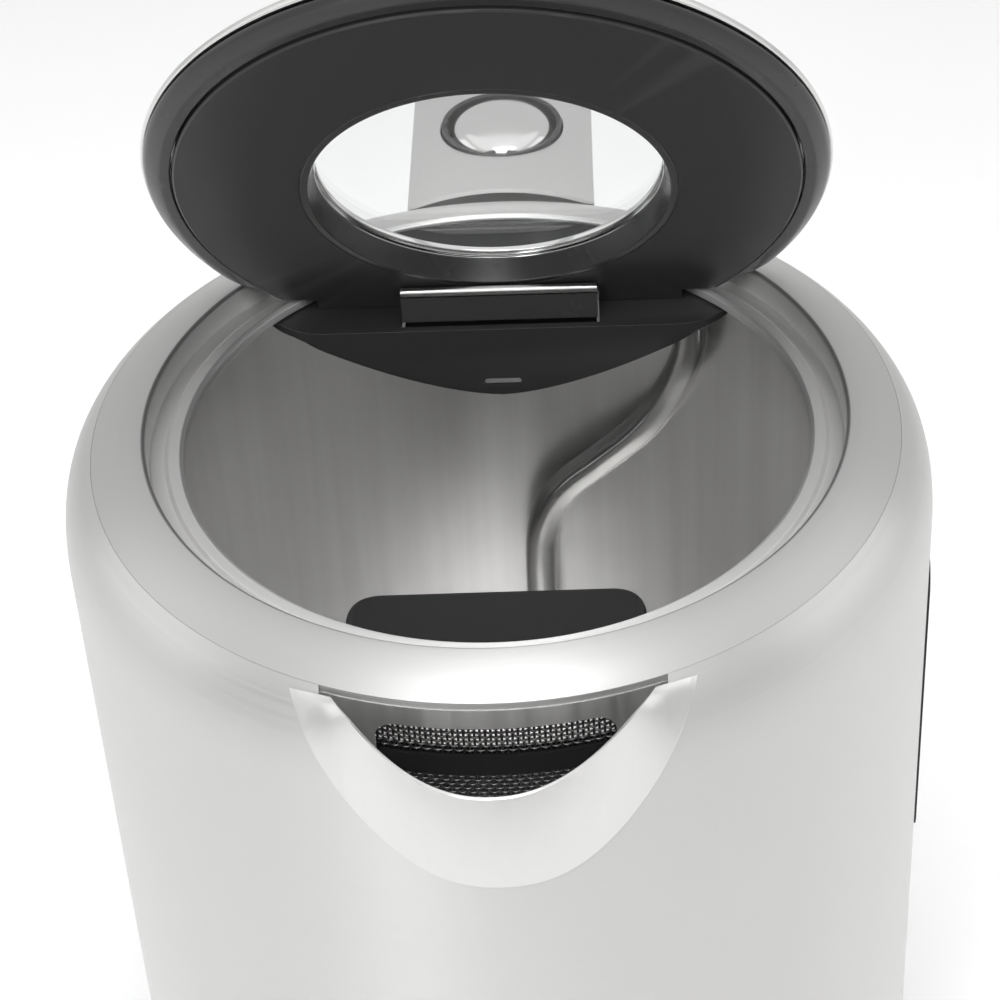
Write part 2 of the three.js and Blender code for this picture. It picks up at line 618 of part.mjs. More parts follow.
// ---------------------------------------------------------------- lid, drawn closed and then swung open
function makeLid() {
  const rear = HINGE_Y - 0.3;
  const corner = (side) =>
    prism(polygon([[41 * side, 40], [41 * side, rear], [45 * side, 33], [52 * side, 29.5], [70 * side, 29.5],
      [70 * side, 40]]), 'z', -20, 20);
  const rearCut = addAll([box([-70, rear, -20], [70, 90, 20]), corner(1), corner(-1)]);
  const knuckleHalf = 18.4;
  const notch = (half) => box([-half, 33, -12], [half, 60, -0.7]);
  const cover = turned([
    [33.5, 1.4],
    [55.8, 0.9],
    [58.5, 0.3],
    [58.8, -0.6],
    [LID_R, -0.6],
    [LID_R, 0.4],
    [59.2, 1.4],
    [56, 1.9],
    [33.5, 2.4],
  ]);
  const ring = turned([[54.9, -3.5], [57.4, -3.2], [59.2, -2.1], [59.7, -0.95], [54.9, -0.95]]);
  const rearBar = box([-50, 33.6, -1.95], [50, rear, -0.95]).intersect(cylinder(55.6, 'z', -5, 5, [0, 0, 0], 96));
  const plate = turned([[33, -4], [54.2, -4], [54.55, -3.7], [54.55, -2.3], [33, -2.3]]);
  // The lining runs on past the pin, so that it stands on the hinge cover when the lid is open.
  const plateEnd = addAll([
    box([-70, HINGE_Y + 2.5, -20], [70, 90, 20]),
    box([34.5, 36.5, -20], [70, 90, 20]),
    box([-70, 36.5, -20], [-34.5, 90, 20]),
  ]);
  const bezel = turned([[WINDOW_R + 0.9, -4.1], [32.65, -4.1], [32.65, 0.5], [WINDOW_R - 0.2, 0.5]]);
  const pane = turned([[0, 0.85], [30.95, 0.85], [30.95, 2.35], [0, 2.35]]);
  const windowTrim = turned([
    [31.3, 0.85],
    [32.6, 0.85],
    [33.1, 2.75],
    [35, 2.75],
    [34.6, 3.8],
    [WINDOW_R - 0.3, 3.8],
    [WINDOW_R - 0.3, 2.7],
    [31.3, 2.7],
  ]);

  // The knuckle's barrels and face are drawn as they stand with the lid open.
  const barrel = (low, high) =>
    cylinder(2.7, 'x', low, high, [0, 0, 0], 16).subtract(cylinder(PIN_R + GAP, 'x', low - 1, high + 1, [0, 0, 0], 12));
  const opened = addAll([
    barrel(7, knuckleHalf),
    barrel(-knuckleHalf, -7),
    box([-knuckleHalf, -3.2, -1.2], [knuckleHalf, -1.6, 4.2]),
  ]).subtract(cylinder(2.6, 'x', -7, 7, [0, 0, 0], 16));
  const turnBack = (solid) =>
    solid.rotate([THREE.MathUtils.radToDeg(LID_OPEN), 0, 0]).translate([0, HINGE_Y, HINGE_Z]);
  const hingeBar = prism(roundedBox(1.7, 1.5, 0.6, 5.05), 'x', -knuckleHalf, knuckleHalf).translate([0, -2.4, 0]);
  const webs = [[7, knuckleHalf], [-knuckleHalf, -7]].map(([low, high]) =>
    box([low, HINGE_Y - 3.6, HINGE_Z + 1.8], [high, HINGE_Y - 0.6, HINGE_Z + 5]));
  const tab = box([-knuckleHalf, 27, -1.9], [knuckleHalf, HINGE_Y - 0.6, 0.1]).subtract(
    turned([[0, -5], [33.1, -5], [33.1, 5], [0, 5]]));
  const knuckle = addAll([turnBack(opened), ...webs, tab]);

  const group = new THREE.Group();
  group.position.set(0, HINGE_Y, HINGE_Z);
  group.rotation.x = -LID_OPEN;
  const lid = [
    piece('lid_top_cover', cover.subtract(rearCut), polished),
    piece('lid_edge_ring', addAll([ring, rearBar]).subtract(rearCut).subtract(notch(knuckleHalf + 0.5)), blackGloss),
    piece('lid_inner_plate', plate.subtract(plateEnd).subtract(notch(knuckleHalf + 0.5)), blackMatte),
    piece('window_bezel', bezel, blackGloss),
    piece('window_glass', pane, clear),
    piece('window_trim_ring', windowTrim, polished),
    piece('lid_hinge_knuckle', knuckle, blackGloss),
    piece('lid_hinge_bar', turnBack(hingeBar), steel),
  ];
  for (const node of lid) {
    node.geometry.translate(0, -HINGE_Y, -HINGE_Z);
    group.add(node);
  }
  return group;
}

// ---------------------------------------------------------------- handle and lid button
const HANDLE_OUTER = [
  [66, -4.6],
  [120, -4.6],
  [127.5, -8],
  [131.5, -16],
  [132.2, -30],
  [129.5, -62],
  [124, -98],
  [117, -124],
  [107, -139],
  [94, -147],
  [66, -151],
];
const FINGER_GAP = [
  [60, -20],
  [97, -20],
  [103, -23],
  [106.5, -30],
  [106.5, -44],
  [104, -66],
  [99.5, -94],
  [93, -113],
  [86, -123],
  [60, -127],
];

function makeHandle() {
  const side = HANDLE_W / 2;
  const seam = SEAM_R + 2 * GAP;
  const wallFoot = [wallRadius(-170) + GAP, -170];
  const envelope = turned([[0, 10], [seam, 10], ...bodyProfile(GAP), wallFoot, [0, -170]]);
  const outerBlock = prism(polygon(HANDLE_OUTER), 'x', -side, side);
  const gap = prism(polygon(FINGER_GAP), 'x', -30, 30);
  const core = prism(polygon(inset(HANDLE_OUTER, 2.6)), 'x', -side + 2.7, side - 2.7);
  const buttonHole = cylinder(12.7, 'z', -9, 5, [0, BUTTON_Y, 0], 24);
  const grip = subtractAll(outerBlock, [gap, core, envelope, buttonHole]);
  const lining = prism(polygon(inset(FINGER_GAP, -2.4)), 'x', -side + 3.1, side - 3.1);
  const inside = prism(polygon(inset(HANDLE_OUTER, 3)), 'x', -30, 30);
  const innerCover = subtractAll(lining.intersect(inside), [gap, envelope]);

  // Top plate: a crowned strip that starts at the shoulder ring's edge.
  const crown = (x) => -0.4 - 2.2 * (x / side) ** 2;
  const strip = [];
  const count = 8;
  for (let i = 0; i <= count; i += 1) {
    const x = -side + (HANDLE_W * i) / count;
    strip.push([-x, crown(x)]);
  }
  for (let i = count; i >= 0; i -= 1) {
    const x = -side + (HANDLE_W * i) / count;
    strip.push([-x, crown(x) - 1.5]);
  }
  const plate = subtractAll(prism(polygon(strip), 'y', 60, 121), [envelope, buttonHole]);

  const bezel = turned([[11.3, -8], [12.3, -8], [12.3, -0.2], [11.3, -0.4]], 24);
  const cap = turned([
    [0, -3.4],
    [9.6, -3.4],
    [9.6, -6.4],
    [BUTTON_R, -6.4],
    [BUTTON_R, -0.6],
    [9.8, 0.3],
    [5, 0.9],
    [0, 1.1],
  ], 24);
  const stem = cylinder(2.4, 'z', -12.5, -3, [0, 0, 0], 12);
  const turns = 4;
  const springBottom = -17.2;
  const springTop = -4.4;
  const spring = new THREE.CatmullRomCurve3(
    Array.from({ length: turns * 8 + 1 }, (_, i) => {
      const a = (i / 8) * 2 * Math.PI;
      const z = springBottom + ((springTop - springBottom) * i) / (turns * 8);
      return new THREE.Vector3(5 * Math.cos(a), 5 * Math.sin(a), z);
    }),
  );
  const group = new THREE.Group();
  const buttonGroup = new THREE.Group();
  buttonGroup.position.y = BUTTON_Y;
  buttonGroup.add(
    piece('button_bezel', bezel, blackGloss),
    piece('lid_button', cap.add(stem), polished),
    piece('button_spring', swept(spring, 0.5, turns * 7, 2), steel),
  );
  group.add(
    piece('handle_outer', grip, blackMatte),
    piece('handle_inner_cover', innerCover, blackMatte),
    piece('handle_top_plate', plate, steel),
    buttonGroup,
  );
  return group;
}

// ---------------------------------------------------------------- assembly
const fromRim = new THREE.Group();
fromRim.position.z = RIM_Z;
fromRim.add(
  makeBody(),
  makeGauges(),
  makeSpoutBeak(),
  makeSpoutBackWall(),
  makeFilter(),
  makeSteamTube(),
  makeHingeCover(),
  makeHingeHardware(),
  makeLid(),
  makeHandle(),
);

const kettle = new THREE.Group();
kettle.add(makeBase(), makeUnderside(), fromRim);

export default kettle;
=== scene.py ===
"""Looks of a cordless electric kettle with its lid open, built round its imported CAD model.

Outlines are in millimetres. Those of the kettle's upper part count their height from the rim, and those of
the power base and the underside from the table. +Z is up, the spout points along -Y, the handle along +Y.
"""
import json
import math

import bmesh
import bpy
from mathutils import Matrix, Vector


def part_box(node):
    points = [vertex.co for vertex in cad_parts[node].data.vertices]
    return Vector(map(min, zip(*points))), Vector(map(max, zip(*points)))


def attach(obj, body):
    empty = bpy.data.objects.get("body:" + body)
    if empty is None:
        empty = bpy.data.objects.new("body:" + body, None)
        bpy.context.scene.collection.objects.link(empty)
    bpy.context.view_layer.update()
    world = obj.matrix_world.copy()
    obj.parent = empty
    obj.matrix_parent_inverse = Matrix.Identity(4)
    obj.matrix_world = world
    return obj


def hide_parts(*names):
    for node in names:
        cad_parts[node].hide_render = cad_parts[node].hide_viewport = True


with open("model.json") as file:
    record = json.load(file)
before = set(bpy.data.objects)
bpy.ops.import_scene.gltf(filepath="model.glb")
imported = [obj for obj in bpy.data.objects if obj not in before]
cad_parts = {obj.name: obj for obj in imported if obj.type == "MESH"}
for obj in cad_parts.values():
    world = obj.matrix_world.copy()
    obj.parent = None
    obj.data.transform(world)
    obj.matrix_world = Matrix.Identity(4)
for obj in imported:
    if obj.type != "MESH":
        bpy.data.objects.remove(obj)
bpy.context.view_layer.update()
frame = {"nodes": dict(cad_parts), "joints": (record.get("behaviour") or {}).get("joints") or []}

MM = 0.001

# ------------------------------------------------------------------ driving dimensions, from the frame
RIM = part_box("shoulder_ring")[1].z / MM
WALL_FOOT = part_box("body_shell")[0].z / MM - RIM
HANDLE_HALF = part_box("handle_outer")[1].x / MM
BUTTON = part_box("lid_button")
BUTTON_Y = (BUTTON[0].y + BUTTON[1].y) / 2 / MM
HINGE = next(joint for joint in frame["joints"] if joint["name"] == "lid_hinge")
HINGE_Y = HINGE["pos_m"][1] / MM
HINGE_Z = HINGE["pos_m"][2] / MM - RIM
LID_OPEN = math.radians(HINGE["range_deg"][1])

# ------------------------------------------------------------------ fixed proportions, nearly all from CAD
BODY_R = 76.7
BODY_FLARE = 0.025
WALL = 1.4
GAP = 0.35
SEAM_R = 70.4
HAIRLINE = 0.04  # how far apart pressed steel edges look
SHOULDER_FOOT = -17  # where the shoulder's curve meets the straight wall
OPENING_R = 55
RECESS_R = 61
FLOOR_Z = -142.5
TUBE_FOOT = (4.4, 72.3)  # where the steam tube goes down through the floor
WINDOW_R = 30.7
FINE = 224  # sides of a large turned piece
SHALLOW = math.radians(38)  # corners that turn by less than this are part of a smooth curve


# ------------------------------------------------------------------ outlines
def soften(points, radius=0.4, steps=4, closed=True):
    """Outline with its sharp corners rounded and its shallow corners spread into a smooth curve."""
    result = []
    count = len(points)
    for i, corner in enumerate(points):
        here = Vector(corner)
        if not closed and i in (0, count - 1):
            result.append(here)
            continue
        back = Vector(points[i - 1]) - here
        ahead = Vector(points[(i + 1) % count]) - here
        turn = math.pi - back.angle(ahead)
        reach = 0.499 * min(back.length, ahead.length)
        cut = reach if turn < SHALLOW else min(reach, radius * math.tan(turn / 2))
        start = here + back.normalized() * cut
        end = here + ahead.normalized() * cut
        for k in range(steps + 1):
            t = k / steps
            result.append(start.lerp(here, t).lerp(here.lerp(end, t), t))
    return [tuple(point) for point in result]


def bend(start, control, end, steps=12):
    """Points of a quadratic curve after its start."""
    a, b, c = Vector(start), Vector(control), Vector(end)
    return [tuple(a.lerp(b, k / steps).lerp(b.lerp(c, k / steps), k / steps)) for k in range(1, steps + 1)]


def arc(radius, first, last, steps=24, centre=(0, 0)):
    """Points of an arc, angles in degrees."""
    angles = [math.radians(first + (last - first) * k / steps) for k in range(steps + 1)]
    return [(centre[0] + radius * math.cos(a), centre[1] + radius * math.sin(a)) for a in angles]


def rounded_box(width, height, radius, centre=(0, 0)):
    x, y = width / 2 - radius, height / 2 - radius
    corners = [(x, y, 0), (-x, y, 90), (-x, -y, 180), (x, -y, 270)]
    points = []
    for corner_x, corner_y, first in corners:
        points += arc(radius, first, first + 90, 8, (centre[0] + corner_x, centre[1] + corner_y))
    return points


def inset(points, distance):
    """Clockwise outline moved inwards, or out where the distance is negative."""
    result = []
    for i, point in enumerate(points):
        here = Vector(point)
        came = (here - Vector(points[i - 1])).normalized()
        goes = (Vector(points[(i + 1) % len(points)]) - here).normalized()
        turn = (came + goes).normalized()
        reach = distance / max(0.5, turn.dot(came))
        result.append((here.x + turn.y * reach, here.y - turn.x * reach))
    return result


def smooth_path(points, per_span=8):
    """Catmull-Rom curve through the points."""
    ends = [Vector(points[0]) * 2 - Vector(points[1])], [Vector(points[-1]) * 2 - Vector(points[-2])]
    knots = ends[0] + [Vector(p) for p in points] + ends[1]
    path = []
    for i in range(1, len(knots) - 2):
        p0, p1, p2, p3 = knots[i - 1 : i + 3]
        for k in range(per_span):
            t = k / per_span
            path.append(
                0.5
                * (
                    2 * p1
                    + (p2 - p0) * t
                    + (2 * p0 - 5 * p1 + 4 * p2 - p3) * t**2
                    + (3 * p1 - p0 - 3 * p2 + p3) * t**3
                )
            )
    return path + [knots[-2]]


# ------------------------------------------------------------------ solids
def mesh_object(name, points, faces):
    mesh = bpy.data.meshes.new(name)
    mesh.from_pydata([tuple(p) for p in points], [], faces)
    builder = bmesh.new()
    builder.from_mesh(mesh)
    bmesh.ops.remove_doubles(builder, verts=builder.verts, dist=0.002)
    bmesh.ops.recalc_face_normals(builder, faces=builder.faces)
    builder.to_mesh(mesh)
    builder.free()
    thing = bpy.data.objects.new(name, mesh)
    bpy.context.scene.collection.objects.link(thing)
    return thing


def spun(outline, segments=FINE, at=(0, 0, 0)):
    """Turned solid about +Z of a closed (radius, height) outline, or one that runs from axis to axis."""
    count = len(outline)
    closed = outline[0][0] > 1e-6
    points = []
    for i in range(segments):
        a = 2 * math.pi * i / segments
        points += [(at[0] + r * math.cos(a), at[1] + r * math.sin(a), at[2] + z) for r, z in outline]
    faces = []
    for i in range(segments):
        here, there = i * count, (i + 1) % segments * count
        for k in range(count if closed else count - 1):
            n = (k + 1) % count
            faces.append((here + k, there + k, there + n, here + n))
    return mesh_object("turned", points, faces)


def slab(outline, axis, low, high):
    """Outline extruded from low to high: drawn in (y, z) across x, (x, z) across y and (x, y) across z."""
    place = {
        "x": lambda p, depth: (depth, p[0], p[1]),
        "y": lambda p, depth: (p[0], depth, p[1]),
        "z": lambda p, depth: (p[0], p[1], depth),
    }[axis]
    count = len(outline)
    points = [place(p, low) for p in outline] + [place(p, high) for p in outline]
    faces = [tuple(range(count)), tuple(range(2 * count - 1, count - 1, -1))]
    faces += [(i, (i + 1) % count, count + (i + 1) % count, count + i) for i in range(count)]
    return mesh_object("slab", points, faces)


def block(low, high):
    outline = [(low[0], low[1]), (high[0], low[1]), (high[0], high[1]), (low[0], high[1])]
    return slab(outline, "z", low[2], high[2])


def rod(radius, axis, low, high, centre=(0, 0), segments=48):
    return slab(arc(radius, 0, 360 - 360 / segments, segments - 1, centre), axis, low, high)


def swept(path, section):
    """Rod along a path, its section carried along without twist."""
    side = Vector((1, 0, 0))
    points = []
    count = len(section)
    for i, here in enumerate(path):
        ahead = path[min(i + 1, len(path) - 1)] - path[max(i - 1, 0)]
        ahead = ahead.normalized()
        side = (side - ahead * side.dot(ahead)).normalized()
        up = ahead.cross(side)
        points += [here + side * x + up * y for x, y in section]
    faces = [tuple(range(count)), tuple(range(len(points) - 1, len(points) - 1 - count, -1))]
    for i in range(len(path) - 1):
        for k in range(count):
            n = (k + 1) % count
            faces.append((i * count + k, i * count + n, (i + 1) * count + n, (i + 1) * count + k))
    return mesh_object("swept", points, faces)


def bake(thing):
    """Applies the modifiers of an object to its mesh."""
    graph = bpy.context.evaluated_depsgraph_get()
    mesh = bpy.data.meshes.new_from_object(thing.evaluated_get(graph))
    thing.modifiers.clear()
    thing.data = mesh
    return thing


def boolean(thing, tools, operation):
    for tool in tools:
        modifier = thing.modifiers.new(operation.lower(), "BOOLEAN")
        modifier.operation = operation
        modifier.object = tool
        modifier.solver = "MANIFOLD"
        bake(thing)
        bpy.data.objects.remove(tool)
    return thing


def cut(thing, *tools):
    return boolean(thing, tools, "DIFFERENCE")


def keep(thing, *tools):
    return boolean(thing, tools, "INTERSECT")


def join(thing, *tools):
    return boolean(thing, tools, "UNION")


def bevel(thing, width, segments=3, angle=35):
    """Rounds the edges that turn by more than the angle."""
    modifier = thing.modifiers.new("edges", "BEVEL")
    modifier.width = width
    modifier.segments = segments
    modifier.limit_method = "ANGLE"
    modifier.angle_limit = math.radians(angle)
    return bake(thing)


def from_cad(node):
    """Copy of a CAD node's mesh in millimetres, its height counted from the table."""
    mesh = frame["nodes"][node].data
    points = [v.co / MM for v in mesh.vertices]
    return mesh_object(node, points, [tuple(p.vertices) for p in mesh.polygons])


def put(thing, name, body, material, nodes, rim=True, sharp=30, turn=None):
    """Names a finished piece, brings it to metres, shades it and hangs it on its body."""
    thing.name = name
    thing.data.name = name
    thing.data.transform(Matrix.Scale(MM, 4) @ Matrix.Translation((0, 0, RIM if rim else 0)))
    thing.data.shade_smooth()
    thing.data.set_sharp_from_angle(angle=math.radians(sharp))
    thing.data.materials.clear()
    thing.data.materials.append(material)
    even = thing.modifiers.new("even_shading", "WEIGHTED_NORMAL")
    even.mode = "FACE_AREA"
    even.weight = 90
    even.keep_sharp = True
    bake(thing)
    if turn is not None:
        thing.matrix_world = turn
    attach(thing, body)
    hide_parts(*nodes)
    return thing


# ------------------------------------------------------------------ materials
class Nodes:
    """Short names for building one material's node tree."""

    def __init__(self, name, color, metallic, roughness, **sockets):
        self.material = bpy.data.materials.new(name)
        self.material.use_nodes = True
        self.tree = self.material.node_tree
        self.shader = self.tree.nodes["Principled BSDF"]
        self.shader.inputs["Base Color"].default_value = (*color, 1)
        self.shader.inputs["Metallic"].default_value = metallic
        self.shader.inputs["Roughness"].default_value = roughness
        for socket, value in sockets.items():
            self.shader.inputs[socket.replace("_", " ")].default_value = value

    def add(self, kind, **settings):
        """Adds a node. Each setting is one of its inputs, or else one of its own properties."""
        node = self.tree.nodes.new(kind)
        for key, value in settings.items():
            if key in node.inputs:
                node.inputs[key].default_value = value
            else:
                setattr(node, key, value)
        return node

    def link(self, source, target):
        self.tree.links.new(source, target)

    def noise(self, vector, scale, detail=3.0, rough=0.55):
        node = self.add("ShaderNodeTexNoise", Scale=scale, Detail=detail, Roughness=rough)
        self.link(vector, node.inputs["Vector"])
        return node.outputs["Fac"]

    def spread(self, value, low, high):
        """Brings the middle half of a noise to the range from low to high."""
        node = self.add("ShaderNodeMapRange")
        node.inputs["From Min"].default_value = 0.25
        node.inputs["From Max"].default_value = 0.75
        node.inputs["To Min"].default_value = low
        node.inputs["To Max"].default_value = high
        self.link(value, node.inputs["Value"])
        return node.outputs["Result"]

    def tint(self, value, dark, light):
        node = self.add("ShaderNodeMix", data_type="RGBA")
        node.inputs[6].default_value = (*dark, 1)
        node.inputs[7].default_value = (*light, 1)
        self.link(value, node.inputs[0])
        return node.outputs[2]

    def bump(self, height, strength, distance):
        node = self.add("ShaderNodeBump", Strength=strength, Distance=distance)
        self.link(height, node.inputs["Height"])
        self.link(node.outputs["Normal"], self.shader.inputs["Normal"])

    def place(self):
        return self.add("ShaderNodeTexCoord").outputs["Object"]

    def grain(self, kind, fine=2600, coarse=18):
        """Coordinates that run slowly along the brush strokes and fast across them."""
        place = self.place()
        if kind != "turned":
            along = {"x": 0, "y": 1, "z": 2}[kind]
            scale = [fine, fine, fine]
            scale[along] = coarse
            node = self.add("ShaderNodeMapping")
            node.inputs["Scale"].default_value = scale
            self.link(place, node.inputs["Vector"])
            return node.outputs["Vector"]
        flat = self.add("ShaderNodeVectorMath", operation="MULTIPLY")
        flat.inputs[1].default_value = (1, 1, 0)
        self.link(place, flat.inputs[0])
        length = self.add("ShaderNodeVectorMath", operation="LENGTH")
        self.link(flat.outputs["Vector"], length.inputs[0])
        split = self.add("ShaderNodeSeparateXYZ")
        self.link(place, split.inputs["Vector"])
        joined = self.add("ShaderNodeCombineXYZ")
        for source, index, factor in (
            (length.outputs["Value"], 0, fine),
            (split.outputs["Z"], 1, fine),
            (split.outputs["X"], 2, coarse),
        ):
            scaled = self.add("ShaderNodeMath", operation="MULTIPLY")
            scaled.inputs[1].default_value = factor
            self.link(source, scaled.inputs[0])
            self.link(scaled.outputs["Value"], joined.inputs[index])
        return joined.outputs["Vector"]


def steel(name, grain, tone=0.62, roughness=0.3, depth=0.12, warm=0.0, fine=2600, contrast=0.04):
    """Brushed stainless steel: fine strokes in the gloss and the surface, slow clouds in the tone."""
    color = (tone, tone * (1 - 0.004 - warm), tone * (1 - 0.012 - 2 * warm))
    n = Nodes(name, color, 1.0, roughness)
    if grain == "turned":
        around = n.add("ShaderNodeTangent", direction_type="RADIAL", axis="Z")
        n.link(around.outputs["Tangent"], n.shader.inputs["Tangent"])
        n.shader.inputs["Anisotropic"].default_value = 0.75
        n.shader.inputs["Anisotropic Rotation"].default_value = 0.25
    strokes = n.noise(n.grain(grain, fine, fine / 140), 1.0, 4.0, 0.6)
    clouds = n.noise(n.place(), 24.0, 2.0)
    both = n.add("ShaderNodeMath", operation="MULTIPLY_ADD")
    both.inputs[1].default_value = 0.35
    n.link(clouds, both.inputs[0])
    n.link(n.spread(strokes, 0.0, 0.65), both.inputs[2])
    n.link(n.spread(both.outputs["Value"], roughness * 0.88, roughness * 1.14), n.shader.inputs["Roughness"])
    dark = tuple(c * (1 - contrast) for c in color)
    light = tuple(min(1.0, c * (1 + 0.8 * contrast)) for c in color)
    n.link(n.tint(both.outputs["Value"], dark, light), n.shader.inputs["Base Color"])
    n.bump(strokes, depth, 0.00004)
    return n.material


def plastic(name, tone, roughness, texture=0.06, coat=0.0, scale=2200, edge_wear_highlight_tone=0.07):
    """Moulded plastic: a fine texture, faint flow clouds, and paler edges that are partly wear and partly a
    painted highlight.
    """
    color = (tone, tone, tone * 1.02)
    n = Nodes(name, color, 0.0, roughness, Coat_Weight=coat, Coat_Roughness=0.12, Specular_IOR_Level=0.3)
    pores = n.noise(n.place(), scale, 2.0)
    clouds = n.noise(n.place(), 45.0, 3.0)
    n.link(n.spread(clouds, roughness * 0.88, roughness * 1.14), n.shader.inputs["Roughness"])
    # Paler colour on pointy edges: partly rubbed wear, partly a painted highlight along rounded edges.
    edge = n.add("ShaderNodeNewGeometry").outputs["Pointiness"]
    wear_and_highlight_mask = n.add("ShaderNodeMapRange")
    wear_and_highlight_mask.inputs["From Min"].default_value = 0.5
    wear_and_highlight_mask.inputs["From Max"].default_value = 0.62
    wear_and_highlight_mask.inputs["To Max"].default_value = 0.35
    n.link(edge, wear_and_highlight_mask.inputs["Value"])
    edge_wear_highlight_color = (edge_wear_highlight_tone, edge_wear_highlight_tone, edge_wear_highlight_tone)
    n.link(n.tint(wear_and_highlight_mask.outputs["Result"], color, edge_wear_highlight_color), n.shader.inputs["Base Color"])
    n.bump(pores, texture, 0.00005)
    return n.material


def clear_pane(name):
    """Clear polycarbonate pane with a few faint ripples."""
    n = Nodes(name, (0.97, 0.98, 0.98), 0.0, 0.02, Transmission_Weight=1.0, IOR=1.45)
    haze = n.noise(n.place(), 60.0, 2.0)
    n.link(n.spread(haze, 0.01, 0.035), n.shader.inputs["Roughness"])
    return n.material


def plain_metal(name, color, roughness):
    n = Nodes(name, color, 1.0, roughness)
    clouds = n.noise(n.place(), 300.0, 4.0)
    n.link(n.spread(clouds, roughness * 0.8, roughness * 1.3), n.shader.inputs["Roughness"])
    n.link(n.tint(clouds, tuple(c * 0.85 for c in color), color), n.shader.inputs["Base Color"])
    n.bump(clouds, 0.05, 0.00005)
    return n.material


def unglazed(name, color):
    n = Nodes(name, color, 0.0, 0.7)
    grains = n.noise(n.place(), 900.0, 4.0)
    n.link(n.tint(grains, tuple(c * 0.82 for c in color), color), n.shader.inputs["Base Color"])
    n.bump(grains, 0.15, 0.0001)
    return n.material


WALL_STEEL = steel("wall_steel", "turned", tone=0.65, roughness=0.42, depth=0.012)
RIM_STEEL = steel("rim_steel", "turned", tone=0.63, roughness=0.46, depth=0.01)
# Painted light: the lid recess is the same steel as the ring but much paler, so the shaded seat looks lit.
RECESS_STEEL_PAINTED_LIGHT = steel("recess_steel_painted_light", "turned", tone=0.93, roughness=0.5, depth=0.01)
# Painted light: the inside wall's steel is much paler than the outside's to brighten the chamber, and its
# strong slow tone clouds paint reflection bands.
INNER_STEEL_PAINTED_LIGHT = steel(
    "inner_steel_painted_light", "z", tone=0.92, roughness=0.34, depth=0.0, warm=0.008, fine=60, contrast=0.3
)
# Painted light: the chamber floor's steel is paler than the outer steel so the inside looks brightly lit.
FLOOR_STEEL_PAINTED_LIGHT = steel("floor_steel_painted_light", "turned", tone=0.9, roughness=0.5, warm=0.005)
SPOUT_STEEL = steel("spout_steel", "z", tone=0.72, roughness=0.33, depth=0.0, fine=400)
# Painted light: the wall behind the spout's mouth is paler steel so it looks lit and reflecting the bright
# sky.
BACK_STEEL_PAINTED_LIGHT = steel("back_steel_painted_light", "z", tone=0.95, roughness=0.5, depth=0.0, fine=400)
PLATE_STEEL = steel("plate_steel", "y", tone=0.72, roughness=0.34, depth=0.0, contrast=0.02)
BRIGHT_STEEL = steel("bright_steel", "turned", tone=0.78, roughness=0.14, depth=0.03)
LID_STEEL = steel("lid_steel", "turned", tone=0.72, roughness=0.2, depth=0.05)
HINGE_STEEL = steel("hinge_steel", "x", tone=0.62, roughness=0.25)
BAR_STEEL = steel("bar_steel", "x", tone=0.7, roughness=0.3, depth=0.01)
PIPE_STEEL = steel("pipe_steel", "x", tone=0.66, roughness=0.2, depth=0.03)
WIRE_STEEL = steel("wire_steel", "x", tone=0.16, roughness=0.35, depth=0.02)
BLACK_SATIN = plastic("black_satin", 0.026, 0.38)
# Pale black plastic that paints the highlight line along the hinge apron's front top edge.
LIP_PAINTED_HIGHLIGHT = plastic("lip_painted_highlight", 0.2, 0.3, edge_wear_highlight_tone=0.3)
BLACK_DULL = plastic("black_dull", 0.014, 0.45, edge_wear_highlight_tone=0.03)
BLACK_GLOSS = plastic("black_gloss", 0.024, 0.26, texture=0.03, coat=0.3)
BLACK_RUBBER = plastic("black_rubber", 0.016, 0.8, texture=0.25, scale=1400)
CLEAR = clear_pane("clear_pane")
BRASS = plain_metal("contact_brass", (0.72, 0.53, 0.2), 0.28)
CAST = plain_metal("cast_aluminium", (0.62, 0.63, 0.64), 0.45)
CERAMIC = unglazed("ceramic_body", (0.72, 0.70, 0.64))


# ------------------------------------------------------------------ body
def wall_radius(z):
    return BODY_R - BODY_FLARE * z


CORNER = [(SEAM_R + GAP, -3.1), (73.2, -5.2), (75.3, -8.4), (76.5, -12.2)]
CORNER.append((wall_radius(SHOULDER_FOOT), SHOULDER_FOOT))


def body_radius(z):
    for (r0, z0), (r1, z1) in zip(CORNER, CORNER[1:]):
        if z >= z1:
            return r0 + (r1 - r0) * (min(z, z0) - z0) / (z1 - z0)
    return wall_radius(z)


SPOUT_HALF = 31.7
SPOUT_BOTTOM = -37.2
SPOUT_TOP = -3.9
SPOUT_FLARE_POWER = 2.35
LIP_HALF = 25
LIP_FRONT = 90.2
LIP_DEPTH = 22.6
LIP_POWER = 2.12
LIP_Z = -3.6
SPOUT_HOLLOW = 2.8  # a little more than in the CAD model
SPOUT_SHEET = 1.0
LIP_SHEET = 0.55
SPOUT_EDGE = 0.6  # how far the spout's foot stands off the wall
MOUTH_HALF = 27
MOUTH_OVERLAP = 1.8  # how far the spout's foot laps over the wall round the mouth

GAUGE_WIDTH = 15
GAUGE_TOP = -36
GAUGE_BOTTOM = -109


def flare_height(u):
    return SPOUT_BOTTOM + (SPOUT_TOP - SPOUT_BOTTOM) * abs(u) ** SPOUT_FLARE_POWER


def gauge_outline(margin):
    middle = (0, (GAUGE_TOP + GAUGE_BOTTOM) / 2)
    radius = GAUGE_WIDTH / 2 - 1 - margin
    return rounded_box(GAUGE_WIDTH - 2 * margin, GAUGE_TOP - GAUGE_BOTTOM - 2 * margin, radius, middle)


